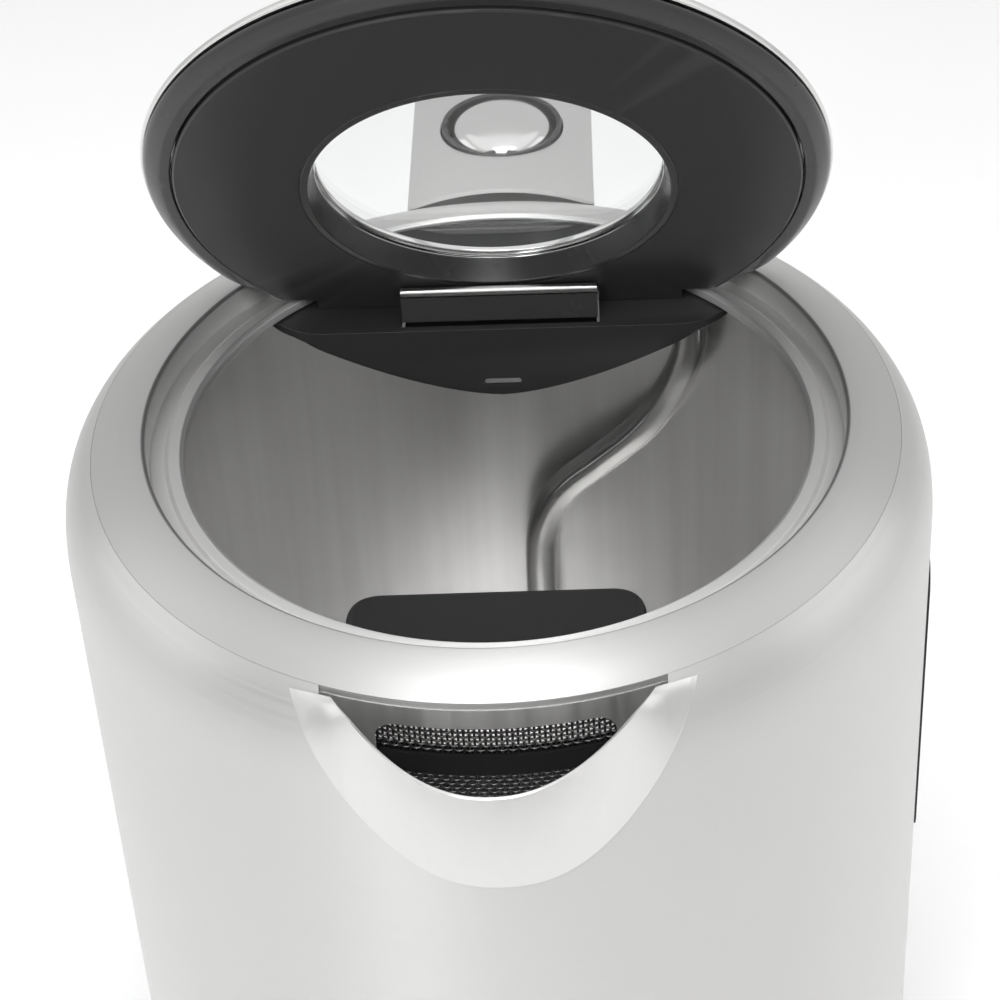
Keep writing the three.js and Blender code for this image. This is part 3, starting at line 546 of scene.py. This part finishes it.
def make_wall():
    """Straight wall and rounded shoulder, with the mouth and both gauge slots cut through it."""
    foot = wall_radius(WALL_FOOT)
    outline = [(SEAM_R + GAP, -3.2), CORNER[0], (SEAM_R + GAP + 0.08, -3.17)]
    outline += CORNER[1:]
    outline += [(foot, WALL_FOOT), (foot - WALL, WALL_FOOT)]
    outline.append((wall_radius(SHOULDER_FOOT) - WALL, SHOULDER_FOOT))
    outline += [(75.3, -13), (74, -9.6), (72.2, -6.7), (SEAM_R + GAP, -5)]
    steps = 48
    mouth = []
    for i in range(steps + 1):
        x = MOUTH_HALF * (2 * i / steps - 1)
        mouth.append((x, flare_height(x / (SPOUT_HALF - MOUTH_OVERLAP)) + MOUTH_OVERLAP))
    mouth += [(MOUTH_HALF, 5), (-MOUTH_HALF, 5)]
    shell = spun(soften(outline, 0.35))
    cut(shell, slab(mouth, "y", -100, -50), slab(gauge_outline(0), "x", -100, 100))
    put(shell, "body_wall", "kettle", WALL_STEEL, ["body_shell"], sharp=35)
    # Faces that look inwards get the paler inside steel: painted light in the chamber.
    shell.data.materials.append(INNER_STEEL_PAINTED_LIGHT)
    for face in shell.data.polygons:
        outward = face.normal.x * face.center.x + face.normal.y * face.center.y
        face.material_index = 1 if outward < 0 else 0


def make_shoulder():
    """Rolled ring round the opening: soft crown, bead, and the recess that the lid closes into."""
    seam = SEAM_R + GAP - HAIRLINE
    ring = [(seam, -4.7), (seam, -3.18), (seam, -3.1), (seam - 0.08, -3.06), (69.3, -2.4), (66.5, -1.1)]
    ring += [(63.5, -0.3), (61.7, 0), (RECESS_R, -0.6), (RECESS_R, -5.2), (58.3, -5.2), (57.6, -4.6)]
    ring += [(55.7, -4.6), (OPENING_R, -5.2), (OPENING_R, -7), (56.2, -7), (56.2, -6.3), (62.2, -6.3)]
    ring += [(62.2, -1.8), (66.2, -2.6), (68.9, -4), (68.9, -4.7)]
    shoulder = spun(soften(ring, 0.5, 5))
    put(shoulder, "shoulder", "kettle", RIM_STEEL, ["shoulder_ring"])
    # Faces inside the recess radius get the paler recess steel: painted light on the lid seat.
    shoulder.data.materials.append(RECESS_STEEL_PAINTED_LIGHT)
    for face in shoulder.data.polygons:
        face.material_index = 1 if face.center.xy.length < (RECESS_R + 0.2) * MM else 0


def make_chamber_floor():
    edge = wall_radius(FLOOR_Z) - WALL - 0.5
    basin = [(0, FLOOR_Z), (67, FLOOR_Z), (edge - 3, FLOOR_Z + 3), (edge, FLOOR_Z + 7)]
    basin += [(edge - 1.2, FLOOR_Z + 7), (edge - 4, FLOOR_Z + 4.2), (66.6, FLOOR_Z + 1.2)]
    basin += [(62, FLOOR_Z + 1.2), (61, FLOOR_Z + 1.9), (59.5, FLOOR_Z + 1.9), (58.5, FLOOR_Z + 1.2)]
    basin.append((0, FLOOR_Z + 1.2))
    floor = spun(soften(basin, 0.5, 4, closed=False))
    cut(floor, rod(4.2, "z", -150, -120, TUBE_FOOT))
    put(floor, "chamber_floor", "kettle", FLOOR_STEEL_PAINTED_LIGHT, ["inner_floor"])


def make_gauges():
    def sheet(inside, outside):
        top, bottom = wall_radius(-20), wall_radius(-125)
        outer = [(top + outside, -20), (bottom + outside, -125)]
        return spun([(top - inside, -20), *outer, (bottom - inside, -125)])

    for side, low, high in (("right", 60, 90), ("left", -90, -60)):
        gasket = keep(sheet(WALL + 0.5, 0.7), slab(gauge_outline(GAP), "x", low, high))
        cut(gasket, slab(gauge_outline(1.4), "x", low - 5, high + 5))
        bevel(gasket, 0.2, 2)
        put(gasket, f"gauge_seal_{side}", "kettle", BLACK_RUBBER, [f"gauge_gasket_{side}"])
        pane = keep(sheet(WALL + 0.8, 0.3), slab(gauge_outline(1.4 + GAP), "x", low, high))
        bevel(pane, 0.25, 2)
        put(pane, f"gauge_pane_{side}", "kettle", CLEAR, [f"gauge_window_{side}"])


# ------------------------------------------------------------------ spout and filter
def beak_surface(u, v):
    """Point of the beak's outer face: u runs from -1 to 1 across it, v from the wall to the lip."""
    z = flare_height(u)
    x = SPOUT_HALF * u
    r = body_radius(z) + SPOUT_EDGE
    foot = Vector((x, -math.sqrt(r * r - x * x), z))
    lip = Vector((LIP_HALF * u, -LIP_FRONT + LIP_DEPTH * abs(u) ** LIP_POWER, LIP_Z))
    middle = foot.lerp(lip, 0.5)
    middle.y += SPOUT_HOLLOW * (1 - u * u)
    return foot * (1 - v) ** 2 + middle * (2 * v * (1 - v)) + lip * v**2


def sheet_faces(across, along):
    """Faces of a closed sheet of across by along cells: front and back, lower and upper edge, both ends."""
    row = across + 1
    back = row * (along + 1)
    faces = []
    for j in range(along):
        for i in range(across):
            p = j * row + i
            faces.append((p, p + 1, p + row + 1, p + row))
            faces.append((back + p, back + p + row, back + p + row + 1, back + p + 1))
    for i in range(across):
        top = along * row + i
        faces.append((i, back + i, back + i + 1, i + 1))
        faces.append((top, top + 1, back + top + 1, back + top))
    for j in range(along):
        left, right = j * row, j * row + across
        faces.append((left, left + row, back + left + row, back + left))
        faces.append((right, back + right, back + right + row, right + row))
    return faces


def make_beak():
    across, along = 112, 28
    step = 0.01
    outer, inner = [], []
    for j in range(along + 1):
        v = j / along
        sheet = SPOUT_SHEET + (LIP_SHEET - SPOUT_SHEET) * v
        for i in range(across + 1):
            u = -1 + 2 * i / across
            here = beak_surface(u, v)
            over = beak_surface(min(u + step, 1), v) - beak_surface(max(u - step, -1), v)
            up = beak_surface(u, min(v + step, 1)) - beak_surface(u, max(v - step, 0))
            normal = over.cross(up).normalized()
            outer.append(here)
            inner.append(here - normal * sheet)
    beak = mesh_object("beak", outer + inner, sheet_faces(across, along))
    bevel(beak, 0.22, 3, angle=50)
    put(beak, "pouring_beak", "kettle", SPOUT_STEEL, ["spout_beak"], sharp=50)


POUR_HALF = 18.9
POUR_TOP = -8.6
POUR_BOTTOM = -29


def make_back_wall():
    plate = [(70, -4.6), (70.8, -4.6), (70.8, -14.2), (74.6, -14.2), (74.6, -40), (70, -40)]
    wall = spun(plate)
    keep(wall, join(block((-31.5, -90, -50), (31.5, -30, -14)), block((-27.6, -90, -20), (27.6, -30, 0))))
    pocket = spun([(70.8, -12), (80, -12), (80, -37.5), (70.8, -37.5)])
    cut(wall, keep(pocket, block((-28.5, -90, -50), (28.5, -30, 0))))
    hole = rounded_box(2 * POUR_HALF, POUR_TOP - POUR_BOTTOM, 3.5, (0, (POUR_TOP + POUR_BOTTOM) / 2))
    cut(wall, slab(hole, "y", -90, -50))
    put(wall, "mouth_wall", "kettle", BACK_STEEL_PAINTED_LIGHT, ["spout_back_wall"])


FILTER_FRONT = 69.6
FILTER_BACK = 39.8
FILTER_HALF = 24.5
FILTER_TOP = -7.4
FILTER_BOTTOM = -52
FILTER_WALL = 2
FILTER_WINDOWS = ((-15.9, -9.3), (-46, -20.1))
WIRE_ACROSS = 0.85
WIRE_ROWS = 0.9
WIRE_R = 0.22
WEAVE = 0.16  # how far the level wires swing in front of and behind the upright ones
SCREEN_R = 69.1
SCREEN_HALF = 19.5


def filter_plan(front, half, rear, corner):
    """Plan of the filter: its front follows the round wall and its rear corners are rounded."""
    angle = math.degrees(math.asin(half / front))
    points = [(half, -rear - corner)]
    points += bend(points[0], (half, -rear), (half - corner, -rear))
    points.append((-half + corner, -rear))
    points += bend(points[-1], (-half, -rear), (-half, -rear - corner))
    return points + arc(front, -90 - angle, -90 + angle, 32)


def make_filter_frame():
    plan = filter_plan(FILTER_FRONT, FILTER_HALF, FILTER_BACK, 6)
    basket = slab(plan, "z", FILTER_BOTTOM, FILTER_TOP)
    bevel(basket, 2.4, 8)
    cavity = filter_plan(FILTER_FRONT - FILTER_WALL, FILTER_HALF - FILTER_WALL, FILTER_BACK - 5, 0.5)
    cut(basket, slab(cavity, "z", FILTER_BOTTOM + FILTER_WALL, FILTER_TOP - FILTER_WALL))
    for low, high in FILTER_WINDOWS:
        cut(basket, slab(rounded_box(40, high - low, 1.2, (0, (high + low) / 2)), "y", -80, -60))
    put(basket, "filter_basket", "filter", BLACK_DULL, ["filter_frame"])


def woven_wires(low, high):
    """Paths of a screen's upright wires, then of the level wires that weave through them."""
    count = int(2 * SCREEN_HALF / WIRE_ACROSS)
    for i in range(count + 1):
        x = -SCREEN_HALF + i * WIRE_ACROSS
        y = -math.sqrt(SCREEN_R**2 - x**2)
        yield [Vector((x, y, low)), Vector((x, y, high))]
    rows = int((high - low) / WIRE_ROWS)
    for row in range(rows):
        z = low + (row + 0.5) * (high - low) / rows
        path = []
        for k in range(4 * count + 1):
            x = -SCREEN_HALF + k * WIRE_ACROSS / 4
            wave = math.cos(math.pi * (x + SCREEN_HALF) / WIRE_ACROSS + math.pi * (row % 2))
            path.append(Vector((x, -math.sqrt(SCREEN_R**2 - x**2) - WEAVE * wave, z)))
        yield path


def make_filter_screens():
    ring = arc(WIRE_R, 0, 300, 5)
    for (low, high), part in zip(FILTER_WINDOWS, ("upper", "lower")):
        points, faces = [], []
        for path in woven_wires(low + GAP, high - GAP):
            wire = swept(path, ring)
            start = len(points)
            points.extend(vertex.co.copy() for vertex in wire.data.vertices)
            faces.extend(tuple(start + i for i in face.vertices) for face in wire.data.polygons)
            bpy.data.objects.remove(wire)
        screen = mesh_object("screen", points, faces)
        node = f"filter_mesh_{part}"
        put(screen, f"filter_screen_{part}", "filter", WIRE_STEEL, [node], sharp=80)


# ------------------------------------------------------------------ steam tube
STEAM_ROUTE = [
    (36.6, 60.6, -10.5),
    (37.4, 61.8, -33),
    (33, 65, -49),
    (27, 67.2, -60),
    (18.3, 70, -70.5),
    (10.5, 71.4, -79),
    (5.8, 72.1, -89),
    (*TUBE_FOOT, -101),
    (*TUBE_FOOT, -125),
    (*TUBE_FOOT, -150),
]


def make_steam_tube():
    section = []
    for i in range(32):
        a = 2 * math.pi * i / 32
        c, s = math.cos(a), math.sin(a)
        section.append((3.4 * math.copysign(abs(c) ** 0.8, c), 3.1 * math.copysign(abs(s) ** 0.8, s)))
    tube = swept(smooth_path(STEAM_ROUTE, 10), section)
    bevel(tube, 0.2, 2, angle=60)
    put(tube, "steam_pipe", "kettle", PIPE_STEEL, ["steam_tube"])


# ------------------------------------------------------------------ hinge area
COVER_FRONT = 32.2
COVER_TOP = -7.4
COVER_BOTTOM = -22.8
COVER_SHEET = 1.6
COVER_LIP = 1.5
POCKET_HALF = 18.7  # half a millimetre less than in the CAD model, so no gap shows beside the knuckle


def cover_plan(margin):
    front = COVER_FRONT + margin
    start = math.degrees(math.atan2(46, 51))
    points = [(33, front)]
    points += bend((33, front), (41 - margin, front), (46 - margin, 42))
    points.append((51, 46))
    points += arc(68.7, start, 180 - start, 48)
    points += [(-51, 46), (-46 + margin, 42)]
    points += bend((-46 + margin, 42), (-41 + margin, front), (-33, front))
    return points


def make_hinge_cover():
    half = 52
    smile = []
    for i in range(49):
        x = -half + 2 * half * i / 48
        lift = 13.7 * (abs(x) / 37.7) ** 1.6
        smile.append((x, min(COVER_BOTTOM + lift, COVER_TOP - COVER_SHEET)))
    smile += [(half, 0), (-half, 0)]
    apron = keep(slab(cover_plan(0), "z", COVER_BOTTOM, COVER_TOP), slab(smile, "y", 0, 80))
    bevel(apron, 0.9, 5)
    cut(
        apron,
        slab(cover_plan(COVER_SHEET), "z", COVER_BOTTOM - 1, COVER_TOP - COVER_SHEET),
        block((-60, 46, -40), (60, 80, COVER_TOP - COVER_SHEET)),
        block((-POCKET_HALF, COVER_FRONT + COVER_LIP, -12), (POCKET_HALF, 46, 0)),
        block((-5, COVER_FRONT + 0.5, -21.2), (5, 36, -18.2)),
        slab(rounded_box(7, 1.5, 0.6, (0, -19.7)), "y", 20, 40),
    )
    put(apron, "hinge_apron", "kettle", BLACK_SATIN, ["hinge_cover"])
    # Faces of the apron's front lip that face up and forward get the pale plastic: a painted highlight line.
    apron.data.materials.append(LIP_PAINTED_HIGHLIGHT)
    for face in apron.data.polygons:
        lit_lip_face = face.normal.z > 0.4 and face.normal.y < -0.3
        face.material_index = 1 if lit_lip_face else 0


def make_hinge_hardware():
    bracket = bevel(from_cad("hinge_bracket"), 0.25, 3)
    put(bracket, "hinge_lugs", "kettle", BLACK_SATIN, ["hinge_bracket"], rim=False)
    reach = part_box("hinge_pin")[1].x / MM
    pin = bevel(rod(1.2, "x", -reach, reach, (HINGE_Y, HINGE_Z)), 0.25, 3)
    put(pin, "hinge_axle", "kettle", HINGE_STEEL, ["hinge_pin"])
    turns = 4
    steps = 24
    pitch = 2
    radius = 1.8
    path = []
    for i in range(turns * steps + 1):
        a = 2 * math.pi * i / steps
        x = -turns * pitch / 2 + pitch * i / steps
        path.append(Vector((x, HINGE_Y + radius * math.cos(a), HINGE_Z + radius * math.sin(a))))
    coil = swept(path, arc(0.32, 0, 315, 7))
    put(coil, "lid_spring", "kettle", HINGE_STEEL, ["hinge_spring"])
    latch = bevel(from_cad("lid_latch"), 0.4, 3)
    put(latch, "latch_tongue", "latch", HINGE_STEEL, ["lid_latch"], rim=False)
    deck = spun(soften([(0, -4.3), (60.4, -4.3), (60.4, -0.7), (60, -0.4), (0, -0.4)], 0.5, 4, closed=False))
    keep(deck, block((-60, 45.8, -10), (60, 70, 5)))
    bevel(deck, 0.35, 3, angle=60)
    put(deck, "hinge_deck", "kettle", BLACK_SATIN, ["rear_deck"])


# ------------------------------------------------------------------ lid, drawn closed and swung open
KNUCKLE_HALF = 18.4
LID_REAR = HINGE_Y - 0.3


def lid_turn():
    pivot = Vector((0, HINGE_Y * MM, (RIM + HINGE_Z) * MM))
    return Matrix.Translation(pivot) @ Matrix.Rotation(-LID_OPEN, 4, "X") @ Matrix.Translation(-pivot)


def lid_piece(thing, name, material, node):
    put(thing, name, "lid", material, [node], turn=lid_turn())


def rear_cut():
    """All that lies behind the lid's straight rear edge and its two clipped corners."""
    corners = [(45, 33), (52, 29.5), (70, 29.5), (70, 40), (41, 40), (41, LID_REAR)]
    middle = block((-70, LID_REAR, -20), (70, 90, 20))
    right = slab(corners, "z", -20, 20)
    left = slab([(-x, y) for x, y in corners], "z", -20, 20)
    return join(middle, right, left)


def knuckle_notch(half):
    return block((-half, 33, -12), (half, 60, -0.7))


def make_lid_shell():
    """Steel cover, the ring round its edge with the bar across its rear, and the lining inside it."""
    cover = [(33.5, 1.4), (55.8, 0.9), (58.5, 0.3), (58.8, -0.6), (60, -0.6), (60, 0.4), (59.2, 1.4)]
    cover += [(56, 1.9), (33.5, 2.4)]
    cap = cut(spun(soften(cover, 0.35, 5)), rear_cut())
    lid_piece(cap, "lid_cap", LID_STEEL, "lid_top_cover")

    rim_outline = [(54.9, -3.5), (57.4, -3.2), (59.2, -2.1), (59.7, -0.95), (54.9, -0.95)]
    rim = spun(soften(rim_outline, 0.4, 5))
    bar = keep(block((-50, 33.6, -1.95), (50, LID_REAR, -0.95)), rod(55.6, "z", -5, 5, segments=FINE))
    join(rim, bar)
    cut(rim, rear_cut(), knuckle_notch(KNUCKLE_HALF + 0.5))
    lid_piece(rim, "lid_rim_ring", BLACK_GLOSS, "lid_edge_ring")

    lining = spun(soften([(33, -4), (54.2, -4), (54.55, -3.7), (54.55, -2.3), (33, -2.3)], 0.12))
    end = join(
        block((-70, HINGE_Y + 2.5, -20), (70, 90, 20)),
        block((34.5, 36.5, -20), (70, 90, 20)),
        block((-70, 36.5, -20), (-34.5, 90, 20)),
    )
    cut(lining, end, knuckle_notch(KNUCKLE_HALF + 0.2))
    lid_piece(lining, "lid_lining", BLACK_SATIN, "lid_inner_plate")


def make_lid_window():
    edge = 33 - HAIRLINE
    bezel = [(WINDOW_R + 0.9, -4.02), (edge, -4.02), (edge, 0.5), (WINDOW_R - 0.2, 0.5)]
    lid_piece(spun(soften(bezel, 0.25)), "window_collar", BLACK_GLOSS, "window_bezel")
    glass = [(0, 0.85), (30.6, 0.85), (30.95, 1.1), (30.95, 2.1), (30.6, 2.35), (0, 2.35)]
    pane = spun(soften(glass, 0.2, 3, closed=False))
    lid_piece(pane, "window_pane", CLEAR, "window_glass")
    # The steel ring round the pane: a bead beside the pane, a groove, and a second bead that holds it down.
    inner = WINDOW_R - 0.3
    trim = [(31.1, 0.75), (32.6, 0.75), (33.1, 2.75), (35, 2.75), (34.6, 3.8), (inner, 3.8), (inner, 2.7)]
    trim += [(31.6, 2.55), (31.6, 2.15), (31.1, 1.95)]
    lid_piece(spun(soften(trim, 0.35, 5)), "window_ring", BRIGHT_STEEL, "window_trim_ring")


def make_lid_hinge():
    """Knuckle and bar, both drawn where they are with the lid open."""
    knuckle = bevel(from_cad("lid_hinge_knuckle"), 0.45, 4, angle=40)
    put(knuckle, "hinge_knuckle", "lid", BLACK_GLOSS, ["lid_hinge_knuckle"], rim=False)
    section = rounded_box(1.7, 1.5, 0.6, (HINGE_Y - 2.4, HINGE_Z + 5.05))
    bar = bevel(slab(section, "x", -KNUCKLE_HALF, KNUCKLE_HALF), 0.2, 2)
    put(bar, "hinge_bar", "lid", BAR_STEEL, ["lid_hinge_bar"])


# ------------------------------------------------------------------ handle and lid button
HANDLE_OUTER = [(66, -4.6), (120, -4.6), (127.5, -8), (131.5, -16), (132.2, -30), (129.5, -62), (124, -98)]
HANDLE_OUTER += [(117, -124), (107, -139), (94, -147), (66, -151)]
FINGER_GAP = [(60, -20), (97, -20), (103, -23), (106.5, -30), (106.5, -44), (104, -66), (99.5, -94)]
FINGER_GAP += [(93, -113), (86, -123), (60, -127)]
PLATE_SHEET = 0.9


def envelope():
    """The wall's outside with a small gap, to be cut away from what is fixed to it."""
    wall = [(r + GAP, z) for r, z in CORNER]
    return spun([(0, 10), (SEAM_R + 2 * GAP, 10)] + wall + [(wall_radius(-170) + GAP, -170), (0, -170)])


def button_hole():
    return rod(12.7, "z", -9, 5, (0, BUTTON_Y), 96)


def make_handle_shells():
    """Hollow outer shell of the handle, and the lining round the finger gap."""
    half = HANDLE_HALF
    grip = slab(soften(HANDLE_OUTER, 3, 6), "x", -half, half)
    cut(grip, slab(soften(FINGER_GAP, 3, 6), "x", -30, 30))
    bevel(grip, 2.6, 6, angle=50)
    core = slab(soften(inset(HANDLE_OUTER, 2.6), 2, 5), "x", -half + 2.7, half - 2.7)
    cut(grip, core, envelope(), button_hole())
    put(grip, "handle_shell", "kettle", BLACK_SATIN, ["handle_outer"])

    lining = slab(soften(inset(FINGER_GAP, -2.4), 3, 6), "x", -half + 3.1, half - 3.1)
    keep(lining, slab(soften(inset(HANDLE_OUTER, 3), 2, 5), "x", -30, 30))
    cut(lining, slab(soften(FINGER_GAP, 3, 6), "x", -30, 30), envelope())
    bevel(lining, 0.5, 3, angle=60)
    put(lining, "handle_lining", "kettle", BLACK_SATIN, ["handle_inner_cover"])


def make_handle_plate():
    count = 24
    xs = [HANDLE_HALF * (2 * i / count - 1) for i in range(count + 1)]
    crown = [(x, -0.4 - 2.2 * (x / HANDLE_HALF) ** 2) for x in xs]
    strip = crown + [(x, z - PLATE_SHEET) for x, z in reversed(crown)]
    plate = slab(strip, "y", 60, 121)
    bevel(plate, 0.35, 4, angle=50)
    cut(plate, envelope(), button_hole())
    put(plate, "handle_plate", "kettle", PLATE_STEEL, ["handle_top_plate"])


def make_button():
    """The button's collar, and its cap with a stem below and two slots in its edge."""
    place = (0, BUTTON_Y, 0)
    bezel = spun(soften([(11.3, -8), (12.3, -8), (12.3, -0.2), (11.3, -0.4)], 0.25), 128, place)
    put(bezel, "button_collar", "kettle", BLACK_GLOSS, ["button_bezel"])
    cap = [(0, -3.4), (9.6, -3.4), (9.6, -6.4), (10.8, -6.4), (10.8, -2.6), (10.2, -1), (8.6, 0.2), (5, 0.9)]
    cap.append((0, 1.1))
    button = spun(soften(cap, 0.4, 5, closed=False), 128, place)
    join(button, rod(2.4, "z", -12.5, -3.2, (0, BUTTON_Y)))
    for side in (-1, 1):
        cut(button, block((2.2 * side - 1.1, BUTTON_Y - 12, -2), (2.2 * side + 1.1, BUTTON_Y - 9.6, 3)))
    bevel(button, 0.12, 2, angle=50)
    put(button, "button_cap", "button", BRIGHT_STEEL, ["lid_button"])


# ------------------------------------------------------------------ underside and power base
def make_underside():
    housing = [(24.6, 22.15), (76, 22.15), (80.6, 25.6), (80.85, 37.6), (78.9, 37.6), (78.9, 26.4)]
    housing += [(75.5, 24.4), (24.6, 24.4)]
    skirt = spun(soften(housing, 0.5))
    cut(skirt, block((-7, 70, 26.8), (7, 90, 36.8)))
    put(skirt, "bottom_skirt", "kettle", BLACK_SATIN, ["bottom_housing"], rim=False)
    socket = [(0, 36.5), (19.4, 36.5), (19.4, 22.4), (24.2, 22.4), (24.2, 44), (0, 44)]
    cup = spun(soften(socket, 0.5, 4, closed=False), 96)
    put(cup, "kettle_socket", "kettle", BLACK_SATIN, ["kettle_connector"], rim=False)
    plate = spun(soften([(0, 57.4), (62, 57.4), (62, 61), (0, 61)], 0.5, 4, closed=False))
    put(plate, "heater_plate", "kettle", CAST, ["heat_plate"], rim=False)
    lever = [(68, 28.4), (82, 28.8), (97, 27.4), (99, 28.6), (99, 30.4), (82, 33.6), (68, 33.6)]
    rocker = bevel(slab(soften(lever, 0.8, 5), "x", -5.8, 5.8), 0.7, 4, angle=50)
    cut(rocker, rod(1.7, "x", -9, 9, (72, 31)))
    put(rocker, "switch_rocker", "switch", BLACK_GLOSS, ["switch_lever"], rim=False)


INLET = (0, 9.9)  # the cord inlet: across, and above the table


def inlet_hole(radius):
    return rod(radius, "y", 70, 90, INLET)


def middle_of(node):
    """Middle of a CAD node seen from above, in millimetres."""
    low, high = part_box(node)
    return (low.x + high.x) / 2 / MM, (low.y + high.y) / 2 / MM


def make_base():
    shell = [(80.4, 3.2), (80.4, 14), (79, 18.5), (75, 20.8), (70, 21.8), (58, 21.8), (55, 19.6)]
    shell += [(18.3, 19.6), (18.3, 17.4), (54, 17.4), (57, 19.6), (69, 19.6), (74, 18.8), (77.2, 16.4)]
    shell += [(78.8, 13), (78.8, 3.2)]
    top = spun(soften(shell, 0.5))
    cut(top, inlet_hole(4.9))
    put(top, "base_shell", "base", BLACK_GLOSS, ["base_top_shell"], rim=False)
    ring = spun(soften([(80.75, 5), (81.9, 5.4), (81.9, 11.6), (80.75, 12)], 0.35))
    cut(ring, inlet_hole(4.9))
    put(ring, "base_band", "base", BRIGHT_STEEL, ["base_trim_ring"], rim=False)
    column = [(0, 5.1), (17.9, 5.1), (17.9, 22.6), (17, 23), (17, 33.5), (12.4, 33.5), (12.4, 26), (8.6, 26)]
    column += [(8.6, 33.5), (3.4, 33.5), (3.4, 24), (0, 24)]
    tower = spun(soften(column, 0.4, 4, closed=False), 96)
    put(tower, "contact_tower", "base", BLACK_SATIN, ["connector_tower"], rim=False)


def make_base_underside():
    """Bottom cover with its screws and feet, and the cord inlet's grommet."""
    cover = [(0, 0), (28, 0), (28, 3), (78.4, 3), (78.4, 4.8), (0, 4.8)]
    under = spun(soften(cover, 0.4, 4, closed=False))
    head = [(0, 1.4), (2.6, 1.4), (3.2, 1.9), (3.2, 2.7), (1.6, 2.7), (1.6, 11), (0, 11)]
    for number in (1, 2, 3):
        node = f"base_screw_{number}"
        x, y = middle_of(node)
        cut(under, rod(3.6, "z", -1, 5.2, (x, y), 40))
        screw = spun(soften(head, 0.2, 3, closed=False), 40, (x, y, 0))
        for wide, deep in ((2.0, 0.35), (0.35, 2.0)):
            cut(screw, block((x - wide, y - deep, 0), (x + wide, y + deep, 2.1)))
        put(screw, f"cover_screw_{number}", "base", PLATE_STEEL, [node], rim=False)
    put(under, "base_floor", "base", BLACK_SATIN, ["base_bottom_cover"], rim=False)
    pad = [(0, 0), (6, 0), (6.5, 0.6), (6.5, 2.7), (0, 2.7)]
    for number in (1, 2, 3, 4):
        node = f"foot_{number}"
        foot = spun(soften(pad, 0.4, 4, closed=False), 64, (*middle_of(node), 0))
        put(foot, f"rubber_foot_{number}", "base", BLACK_RUBBER, [node], rim=False)
    grommet = rod(4.5, "y", 77, 84.5, INLET, 64)
    cut(grommet, inlet_hole(3))
    bevel(grommet, 0.4, 3, angle=60)
    put(grommet, "inlet_grommet", "base", BLACK_RUBBER, ["cord_inlet_grommet"], rim=False)


def finish_hidden_nodes():
    """Materials of the CAD nodes that stay as they are, all small or inside."""
    kept = {
        "swivel_collar": BLACK_GLOSS,
        "tower_contact_ring": BRASS,
        "tower_contact_pin": BRASS,
        "heating_element": CAST,
        "boil_dry_thermostat": CERAMIC,
        "steam_switch_body": CERAMIC,
        "bimetal_disc": BRASS,
        "switch_pivot_pin": PLATE_STEEL,
        "handle_screw_upper": PLATE_STEEL,
        "handle_screw_lower": PLATE_STEEL,
        "button_spring": PLATE_STEEL,
    }
    for name, material in kept.items():
        mesh = frame["nodes"][name].data
        mesh.materials.clear()
        mesh.materials.append(material)


# ------------------------------------------------------------------ studio
def make_floor():
    size = 3.0
    points = [(-size, -size, 0), (size, -size, 0), (size, size, 0), (-size, size, 0)]
    mesh = bpy.data.meshes.new("floor")
    mesh.from_pydata(points, [], [(0, 1, 2, 3)])
    floor = bpy.data.objects.new("floor", mesh)
    bpy.context.scene.collection.objects.link(floor)
    n = Nodes("pale_floor", (0.9, 0.9, 0.9), 0.0, 0.7)
    clouds = n.noise(n.place(), 3.0, 2.0)
    n.link(n.tint(clouds, (0.94, 0.94, 0.94), (0.97, 0.97, 0.97)), n.shader.inputs["Base Color"])
    mesh.materials.append(n.material)


def soft_light(name, place, aim, width, height, power, spread=180):
    light = bpy.data.lights.new(name, "AREA")
    light.shape = "RECTANGLE"
    light.size = width
    light.size_y = height
    light.energy = power
    light.spread = math.radians(spread)
    lamp = bpy.data.objects.new(name, light)
    lamp.location = place
    lamp.rotation_euler = (Vector(aim) - Vector(place)).to_track_quat("-Z", "Y").to_euler()
    bpy.context.scene.collection.objects.link(lamp)


def make_studio():
    scene = bpy.context.scene
    scene.view_settings.view_transform = "Standard"
    scene.view_settings.exposure = 0.0
    world = bpy.data.worlds.new("studio")
    world.use_nodes = True
    world.node_tree.nodes["Background"].inputs["Color"].default_value = (1.0, 1.0, 1.0, 1)
    world.node_tree.nodes["Background"].inputs["Strength"].default_value = 0.68
    scene.world = world
    middle = (0, 0, 0.15)
    soft_light("above", (0, 0.1, 1.3), middle, 1.7, 1.7, 3.6)
    soft_light("left_strip", (-0.47, -1.1, 0.7), middle, 0.25, 1.3, 4.2)
    for side in (-1, 1):
        soft_light("beside", (1.5 * side, 0.1, 0.8), middle, 1.2, 1.2, 2.6)
    soft_light("into_chamber", (0.05, -0.45, 1.15), (0, 0.03, 0.1), 0.9, 0.5, 0.6, 40)


def make_camera():
    """Camera in front of the spout, 40 degrees above the level, slightly turned and off-centre."""
    right = Vector((0.99944, -0.03005, -0.01451)).normalized()
    ahead = Vector((0.01358, 0.76316, -0.64605)).normalized()
    up = right.cross(ahead).normalized()
    right = ahead.cross(up)
    camera = bpy.data.cameras.new("camera")
    camera.lens = 84.13
    camera.sensor_width = 36
    camera.shift_x = -0.12
    holder = bpy.data.objects.new("camera", camera)
    turn = Matrix((right, up, -ahead)).transposed().to_4x4()
    holder.matrix_world = Matrix.Translation((0.01551, -0.32377, 0.45508)) @ turn
    bpy.context.scene.collection.objects.link(holder)
    bpy.context.scene.camera = holder


make_camera()
make_studio()
make_floor()
make_wall()
make_shoulder()
make_chamber_floor()
make_gauges()
make_beak()
make_back_wall()
make_filter_frame()
make_filter_screens()
make_steam_tube()
make_hinge_cover()
make_hinge_hardware()
make_lid_shell()
make_lid_window()
make_lid_hinge()
make_handle_shells()
make_handle_plate()
make_button()
make_underside()
make_base()
make_base_underside()
finish_hidden_nodes()


bpy.context.view_layer.update()
